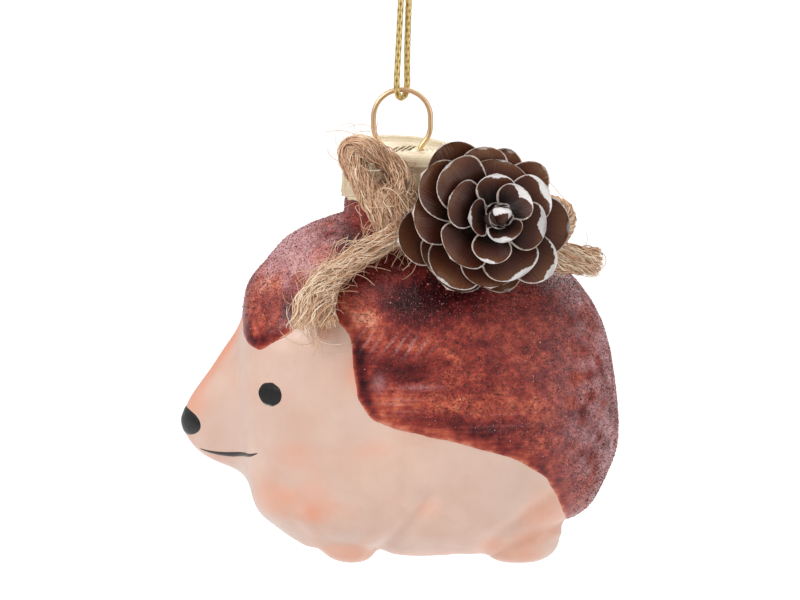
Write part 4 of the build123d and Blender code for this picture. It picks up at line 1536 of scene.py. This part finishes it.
@dataclass
class TwineRun:
    """One run of jute twine.

    It has a route, a radius at each end, the length over which its end frays, a twist in radians for each
    millimetre, a count of stray hairs with the share of long ones, a tone shift over the whole run that is
    painted light above zero and painted shade below zero, and a painted shade that darkens it past its
    middle, and lightens it instead where below zero.
    """

    name: str
    route: list[tuple[float, float, float]]
    node: str
    radius: float
    end_radius: float
    fray: float = 0.0
    twist: float = 0.32
    strays: int = 90
    # Painted light above zero and painted shade below zero, over the whole run
    shade: float = 0.0
    seed: int = 1
    # Painted shade around 72% along the run; below zero it is painted light
    shade_dip: float = 0.0
    long_hairs: float = 0.06


@dataclass
class JuteBow:
    """The hairy jute bow in front of the neck."""

    fibres: int = 300
    fibre_mm: float = 0.115
    fibre_sides: int = 4
    stray_mm: float = 0.06
    core_share: float = 0.66
    # The core's tone is painted shade: a dark tube down the middle of each run shows as shade between the
    # fibres
    core_shade_tone: float = 0.1
    core_steps: int = 40
    core_short: int = 4

    def runs(self) -> list[TwineRun]:
        """The bow's runs of twine, as they were tied."""
        return [
            TwineRun(
                "bow_loop_left_twine", [
                    (-4.0, -19.0, -50.6), (-5.4, -18.6, -47.6), (-8.1, -17.4, -43.3), (-10.3, -15.9, -39.4),
                    (-11.5, -14.8, -36.6), (-11.0, -14.4, -35.3), (-9.0, -14.8, -35.1), (-6.3, -15.4, -36.3),
                    (-3.2, -16.2, -38.3), (-1.2, -17.0, -40.6), (-0.6, -17.8, -43.6), (-1.6, -18.6, -47.0)],
                "bow_loop_left", radius=2.2, end_radius=2.2, twist=0.14, strays=170, shade=0.06,
                seed=2, shade_dip=0.32, long_hairs=0.02),
            TwineRun(
                "bow_loop_right_twine", [
                    (2.5, -15.6, -51.6), (16.0, -14.6, -52.2), (27.0, -13.4, -53.0), (31.0, -12.0, -53.0),
                    (32.0, -10.6, -50.6), (30.0, -10.2, -48.2), (17.0, -13.2, -46.4), (2.5, -18.4, -44.4)],
                "bow_loop_right", radius=2.2, end_radius=2.2, twist=0.7, shade=0.05, seed=3),
            TwineRun(
                "bow_tail_left_twine", [
                    (-1.0, -20.4, -50.8), (-3.6, -20.6, -52.6), (-6.4, -20.6, -54.4), (-9.4, -21.0, -56.2),
                    (-12.6, -21.8, -58.4), (-15.6, -23.2, -60.6),
                    (-17.6, -25.2, -63.6), (-18.4, -27.2, -66.6),
                    (-18.4, -28.4, -70.2)],
                "bow_tail_left", radius=2.25, end_radius=5.0, fray=9.0, twist=0.12, strays=420,
                shade=0.1, seed=4, shade_dip=-0.2, long_hairs=0.25),
            TwineRun(
                "bow_tail_right_twine", [
                    (1.5, -19.2, -54.2), (12.0, -19.0, -54.8), (24.0, -17.8, -56.2), (33.0, -15.9, -57.6),
                    (39.4, -14.4, -58.8)],
                "bow_tail_right", radius=2.2, end_radius=2.9, fray=2.0, twist=0.15, shade=0.12, seed=5),
            TwineRun(
                "bow_knot_twine", [
                    (-4.0, -14.2, -44.6), (-4.4, -16.8, -44.4), (-2.4, -19.6, -45.6), (-0.2, -21.0, -48.4),
                    (1.2, -20.6, -51.6), (0.6, -17.6, -53.4), (-1.0, -14.4, -53.2)],
                "bow_knot", radius=2.5, end_radius=2.5, twist=0.2, strays=420, shade=-0.16, seed=6,
                long_hairs=0.2)]

    def bundle(self, run: TwineRun, rng: np.random.Generator) -> tuple[list[np.ndarray], list[float], list]:
        """Lay the fibres of one run.

        Args:
            run: The run.
            rng: Its random numbers.

        Returns:
            Fibre lines, their radii and their tones.
        """
        steps = 70
        line = smooth_line(run.route, steps)
        length = run_lengths(line)[-1]
        along = np.linspace(0, length, steps)
        _, normal, across = frames_along(line)
        spread = np.interp(along, [0, length * 0.55, length], [run.radius, run.radius, run.end_radius])
        lines, radii, tones = [], [], []
        for _ in range(self.fibres // (1)):
            angle = rng.uniform(0, 2 * math.pi)
            share = math.sqrt(rng.uniform(0.28, 1.0)) * rng.uniform(0.9, 1.1)
            drift = rng.uniform(-0.9, 0.9)
            wave = rng.uniform(0, 2 * math.pi, 2)
            turn = angle + run.twist * along + drift * along / length
            turn += 0.2 * np.sin(along * rng.uniform(0.4, 1.3) + wave[0])
            reach = spread * share * (1 + 0.12 * np.sin(along * rng.uniform(0.5, 1.6) + wave[1]))
            stop = steps
            if run.fray:
                stop = int(steps * (1 - rng.uniform(0, run.fray) / length * rng.random()))
            fibre = line + reach[:, None] * (np.cos(turn)[:, None] * normal + np.sin(turn)[:, None] * across)
            lines.append(fibre[:stop])
            radii.append(self.fibre_mm * rng.uniform(0.6, 1.35))
            # Painted light and shade: the whole run is made lighter or darker, and it darkens around 72%
            # along, where the left loop's return strand lies in shade; the left tail lightens there instead
            shade_dip = run.shade_dip * np.exp(-((along / length - 0.72) / 0.13) ** 2)
            tones.append(np.clip(0.6 + run.shade + rng.normal(0, 0.2) - shade_dip[:stop], 0.02, 1))
        return lines, radii, tones

    def strays(self, run: TwineRun, rng: np.random.Generator) -> tuple[list[np.ndarray], list[float], list]:
        """Let loose hairs spring out of one run.

        Args:
            run: The run.
            rng: Its random numbers.

        Returns:
            Hair lines, their radii and their tones.
        """
        steps = 80
        line = smooth_line(run.route, steps)
        tangent, normal, across = frames_along(line)
        lines, radii, tones = [], [], []
        for _ in range(run.strays // (1)):
            i = int(rng.integers(2, steps - 2))
            angle = rng.uniform(0, 2 * math.pi)
            out = math.cos(angle) * normal[i] + math.sin(angle) * across[i]
            here = line[i] + out * run.radius * rng.uniform(0.75, 1.0)
            heading = tangent[i] * rng.choice((-1, 1)) * rng.uniform(0.6, 1.2) + out * rng.uniform(0.1, 0.7)
            heading /= np.linalg.norm(heading)
            long = rng.random() < run.long_hairs
            count = int(rng.integers(20, 34)) if long else int(rng.integers(6, 18))
            step = rng.uniform(0.32, 0.55)
            # Each hair curls back towards its strand
            axis = np.cross(heading, -out) + rng.normal(0, 0.35, 3)
            axis /= np.linalg.norm(axis)
            bend = rng.uniform(0.09, 0.2) if long else rng.normal(0.12, 0.16)
            hair = [here]
            for _ in range(count):
                heading = heading + np.cross(axis, heading) * bend + rng.normal(0, 0.04, 3)
                heading /= np.linalg.norm(heading)
                hair.append(hair[-1] + heading * step)
            lines.append(np.array(hair))
            radii.append(self.stray_mm * rng.uniform(0.6, 1.2))
            tones.append(float(np.clip(rng.normal(0.72, 0.14), 0.2, 1)))
        return lines, radii, tones

    def build(self) -> None:
        """Build every run with its hairs and its core, a dark tube of painted shade."""
        finish = JuteFibre().make()
        for run in self.runs():
            rng = np.random.default_rng(run.seed)
            lines, radii, tones = self.bundle(run, rng)
            more, more_radii, more_tones = self.strays(run, rng)
            # Each run's core: a dark tube standing for the shade deep inside the bundle
            core = smooth_line(run.route, self.core_steps)
            if run.fray:
                core = core[:-self.core_short]
            lines = lines + more + [core]
            radii = radii + more_radii + [run.radius * self.core_share]
            tones = tones + more_tones + [self.core_shade_tone]
            points, faces = thin_tubes(lines, radii, self.fibre_sides)
            spread = [np.broadcast_to(tone, len(line)) for line, tone in zip(lines, tones)]
            tone = np.repeat(np.concatenate(spread), self.fibre_sides)
            build_piece(run.name, points, faces, finish, Body.ORNAMENT, {"tone": tone}, (run.node,))


class Ring(Enum):
    """The rings of the cone, from its back to its tip."""

    BASE = "cone_scales_base"
    LOWER = "cone_scales_lower"
    MIDDLE = "cone_scales_middle"
    UPPER = "cone_scales_upper"
    TIP = "cone_scales_tip"


@dataclass(frozen=True)
class ConeScale:
    """One scale: its turn, reach and width as shares, and its dab of white paint.

    The turn is a share of a full turn, reach and width are shares of the cone's radius. The paint reaches
    over the rim by snow millimetres, around the degrees snow_at to either side by snow_wide.
    """

    turn: float
    reach: float
    width: float
    snow: float = 0.0
    snow_at: float = 0.0
    snow_wide: float = 40.0


@dataclass
class PineCone:
    """The pine cone, seen nearly along its axis."""

    seat: tuple[float, float, float] = (14.0, -21.2, -49.6)
    yaw: float = 14.0
    pitch: float = 14.0
    radius: float = 17.6
    core_length: float = 16.5
    core_radius: float = 2.6
    bud_radius: float = 1.6
    bud_length: float = 4.6
    first: float = 1.0
    last_gap: float = 1.2
    lean_first: float = 3.0
    lean_last: float = 58.0
    cup_radius: float = 60.0
    widest_share: float = 0.62
    top: float = 0.75
    rim: float = 0.42
    tip_shift: tuple[float, float, float] = (0.75, 0.0, 0.4)

    def scales(self) -> list[ConeScale]:
        """The scales, from the outermost to the bud."""
        return [
            ConeScale(0.53, 1.02, 0.68), ConeScale(0.80, 0.82, 0.52), ConeScale(0.18, 0.87, 0.50),
            ConeScale(0.60, 0.82, 0.58), ConeScale(0.93, 0.84, 0.54), ConeScale(0.66, 0.89, 0.64),
            ConeScale(0.03, 0.80, 0.52), ConeScale(0.325, 1.0, 0.70),
            ConeScale(0.98, 0.96, 0.66, 0.25, 40, 60), ConeScale(0.64, 0.85, 0.66, 0.3, 0, 70),
            ConeScale(0.11, 0.90, 0.50), ConeScale(0.75, 0.77, 0.68), ConeScale(0.25, 0.81, 0.60),
            ConeScale(0.88, 0.92, 0.56, 0.8, 20, 60), ConeScale(0.48, 0.90, 0.70),
            ConeScale(0.20, 0.70, 0.66, 0.35, 0, 60), ConeScale(0.82, 0.73, 0.64, 1.1, 12, 66),
            ConeScale(0.405, 0.96, 0.68), ConeScale(0.065, 0.76, 0.58, 1.9, 4, 58),
            ConeScale(0.61, 0.66, 0.62, 0.3, 40, 50), ConeScale(0.36, 0.78, 0.66, 0.2, 0, 60),
            ConeScale(0.96, 0.62, 0.54, 1.9, 20, 52), ConeScale(0.425, 0.57, 0.58, 0.35, -10, 70),
            ConeScale(0.72, 0.52, 0.46, 0.8, -15, 50), ConeScale(0.24, 0.49, 0.50, 1.0, 0, 75),
            ConeScale(0.50, 0.33, 0.45, 0.9, 0, 80), ConeScale(0.105, 0.43, 0.48, 1.9, 5, 72),
            ConeScale(0.80, 0.30, 0.50, 1.4, -35, 75), ConeScale(0.36, 0.165, 0.20, 0.3, 0, 90),
            ConeScale(0.03, 0.155, 0.20, 0.5, 0, 90), ConeScale(0.69, 0.15, 0.20, 0.5, 0, 90),
            ConeScale(0.21, 0.145, 0.18, 0.4, 0, 90), ConeScale(0.56, 0.14, 0.18, 0.9, 0, 90),
            ConeScale(0.89, 0.135, 0.17, 0.6, 0, 90), ConeScale(0.25, 0.13, 0.16, 0.5, 0, 90)]

    def to_world(self, points: np.ndarray) -> np.ndarray:
        """Turn the cone's own coordinates into the CAD frame.

        Args:
            points: Points with the core along z.

        Returns:
            The same points in the CAD frame.
        """
        turned = turn_about("z", math.radians(self.yaw)) @ turn_about("x", math.radians(90 - self.pitch))
        return points @ turned.T + np.array(self.seat)

    def petal(self, scale: ConeScale, index: int,
              count: int) -> tuple[np.ndarray, list, dict[str, np.ndarray]]:
        """Shape one scale.

        Args:
            scale: What it is like.
            index: Its place along the core, from the base.
            count: How many scales the cone has.

        Returns:
            Points, faces and values for the finish.
        """
        rng = np.random.default_rng(index + 1)
        rows, columns = 24, 21
        blunt = rng.uniform(1.9, 2.6)
        share = index / (count - 1)
        root_z = self.first + share * (self.core_length - self.first - self.last_gap)
        root_r = self.core_radius + (self.bud_radius - self.core_radius) * root_z / self.core_length
        slope = math.tan(math.radians(self.lean_first + (self.lean_last - self.lean_first) * share ** 4))
        run = scale.reach * self.radius - root_r
        width = scale.width * self.radius
        t = np.linspace(0, 1, rows)
        u = 0.35 * t + 0.65 * np.sin(t * math.pi / 2)
        v = np.sin(np.linspace(-1, 1, columns) * math.pi / 2)
        grid_u, grid_v = np.meshgrid(u, v, indexing="ij")
        grow = np.clip(grid_u / self.widest_share, 0, 1)
        close = np.clip((grid_u - self.widest_share) / (1 - self.widest_share), 0, 1)
        root_half = 0.24 + 0.76 * np.sin(grow * math.pi / 2) ** 1.05
        rim_half = np.clip(1 - close ** blunt, 0, 1) ** 0.54
        half = width / 2 * np.where(grid_u < self.widest_share, root_half, rim_half)
        side = grid_v * half * (1 + 0.05 * np.sin(6 * np.arctan2(grid_v, 1.2 - grid_u) + rng.uniform(0, 6)))
        out = root_r + run * grid_u * (1 - 0.03 * grid_v ** 2 * np.sin(rng.uniform(0, 6)))
        far = np.hypot(out, side) - root_r
        lip = 0.3 * smoothstep(0.9, 1.0, grid_u) - 0.5 * smoothstep(0.3, 1.0, np.abs(grid_v)) * grid_u
        wave = 0.14 * np.sin(3 * grid_v + rng.uniform(0, 6)) * grid_u
        z = root_z + far * slope + far ** 2 / (2 * self.cup_radius) + self.top - lip + wave
        edge = np.minimum((1 - np.abs(grid_v)) * half, (1 - grid_u) * run)
        clock = np.degrees(np.arctan2(grid_v * half, (grid_u - 0.55) * run + 1e-6))
        snow = scale.snow * (1 - ((clock - scale.snow_at) / scale.snow_wide) ** 2) - edge
        snow = np.where((scale.snow > 0) & (grid_u > 0.35), snow, -2.0)
        # The scales near the tip wrap round it
        wrap = 0.9 * float(smoothstep(19, 28, np.array([index]))[0])
        around = side / np.maximum(out, 0.5)
        side = (1 - wrap) * side + wrap * out * np.sin(around)
        out = (1 - wrap) * out + wrap * out * np.cos(around)
        top = np.stack([out, side, z], axis=-1).reshape(-1, 3)
        thick = self.top + (self.rim - self.top) * smoothstep(0.3, 1.0, grid_u)
        below = np.stack([out - 0.05, side * 0.985, z - thick], axis=-1).reshape(-1, 3)
        spin = turn_about("z", 2 * math.pi * scale.turn)
        points = self.to_world(np.vstack([top, below]) @ spin.T) + wrap * np.array(self.tip_shift)
        ray = np.arctan2(grid_v * half, out) * 26 + index * 7.3
        # Undersides read half as far along the ramp: painted shade under each scale
        pairs = {"edge": (edge, edge), "snow": (snow, snow - 1.0), "along": (grid_u, grid_u * 0.5),
                 "ray": (ray, ray)}
        values = {key: np.concatenate([upper.ravel(), under.ravel()])
                  for key, (upper, under) in pairs.items()}
        return points, sheet_faces(rows, columns, turned=True), values

    def build(self) -> None:
        """Build the rings of scales, the core, the bud and the glue that holds the cone."""
        finish = ConeScaleWood().make()
        scales = self.scales()
        size = math.ceil(len(scales) / len(Ring))
        for place, ring in enumerate(Ring):
            points, faces, values, base = [], [], {}, 0
            for index in range(place * size, min((place + 1) * size, len(scales))):
                own, own_faces, own_values = self.petal(scales[index], index, len(scales))
                points.append(own)
                faces += [[base + k for k in f] for f in own_faces]
                for key, value in own_values.items():
                    values.setdefault(key, []).append(value)
                base += len(own)
            build_piece(ring.value + "_petals", np.vstack(points), faces, finish, Body.ORNAMENT,
                        {k: np.concatenate(v) for k, v in values.items()}, (ring.value,))
        dress_node("cone_core", ConeBark().make())
        self.build_bud(finish)
        dress_node("cone_glue", HotGlue().make())

    def build_bud(self, finish: bpy.types.Material) -> None:
        """Build the closed bud at the tip, with its white-painted side.

        Args:
            finish: The scales' finish.
        """
        rows, columns = 16, 20
        t = np.linspace(0, 1, rows)[:, None]
        a = np.linspace(0, 2 * math.pi, columns, endpoint=False)[None]
        radius = 1.1 * self.bud_radius * np.clip(1 - t ** 1.8, 0.0, 1)
        ridge = 1 + 0.16 * np.cos(3 * a - 1.0)
        height = self.core_length - 0.6 + (self.bud_length + 0.5) * t + 0 * a
        out = radius * ridge
        points = np.stack([out * np.cos(a), out * np.sin(a), height], axis=-1).reshape(-1, 3)
        clock = np.degrees(np.angle(np.exp(1j * (a - math.radians(65))))) + 0 * t
        snow = 1.25 - (np.abs(clock) / 105) ** 2 + 0 * t
        level = 0 * t + 0 * a
        values = {"edge": level + 2.0, "snow": snow, "along": level + 0.35 + 0.5 * t, "ray": level + a * 3}
        build_piece("cone_bud_tip", self.to_world(points) + np.array(self.tip_shift),
                    ring_faces(rows, columns), finish, Body.ORNAMENT,
                    {key: value.ravel() for key, value in values.items()}, ("cone_bud",))


def main() -> None:
    """Build the studio and the ornament, piece by piece."""
    logging.basicConfig(level=logging.INFO, format="%(name)s: %(message)s")
    Studio().build()
    HangingCord().build()
    CapAndRing().build()
    GlassBody().build()
    JuteBow().build()
    PineCone().build()


if __name__ == "__main__":
    main()
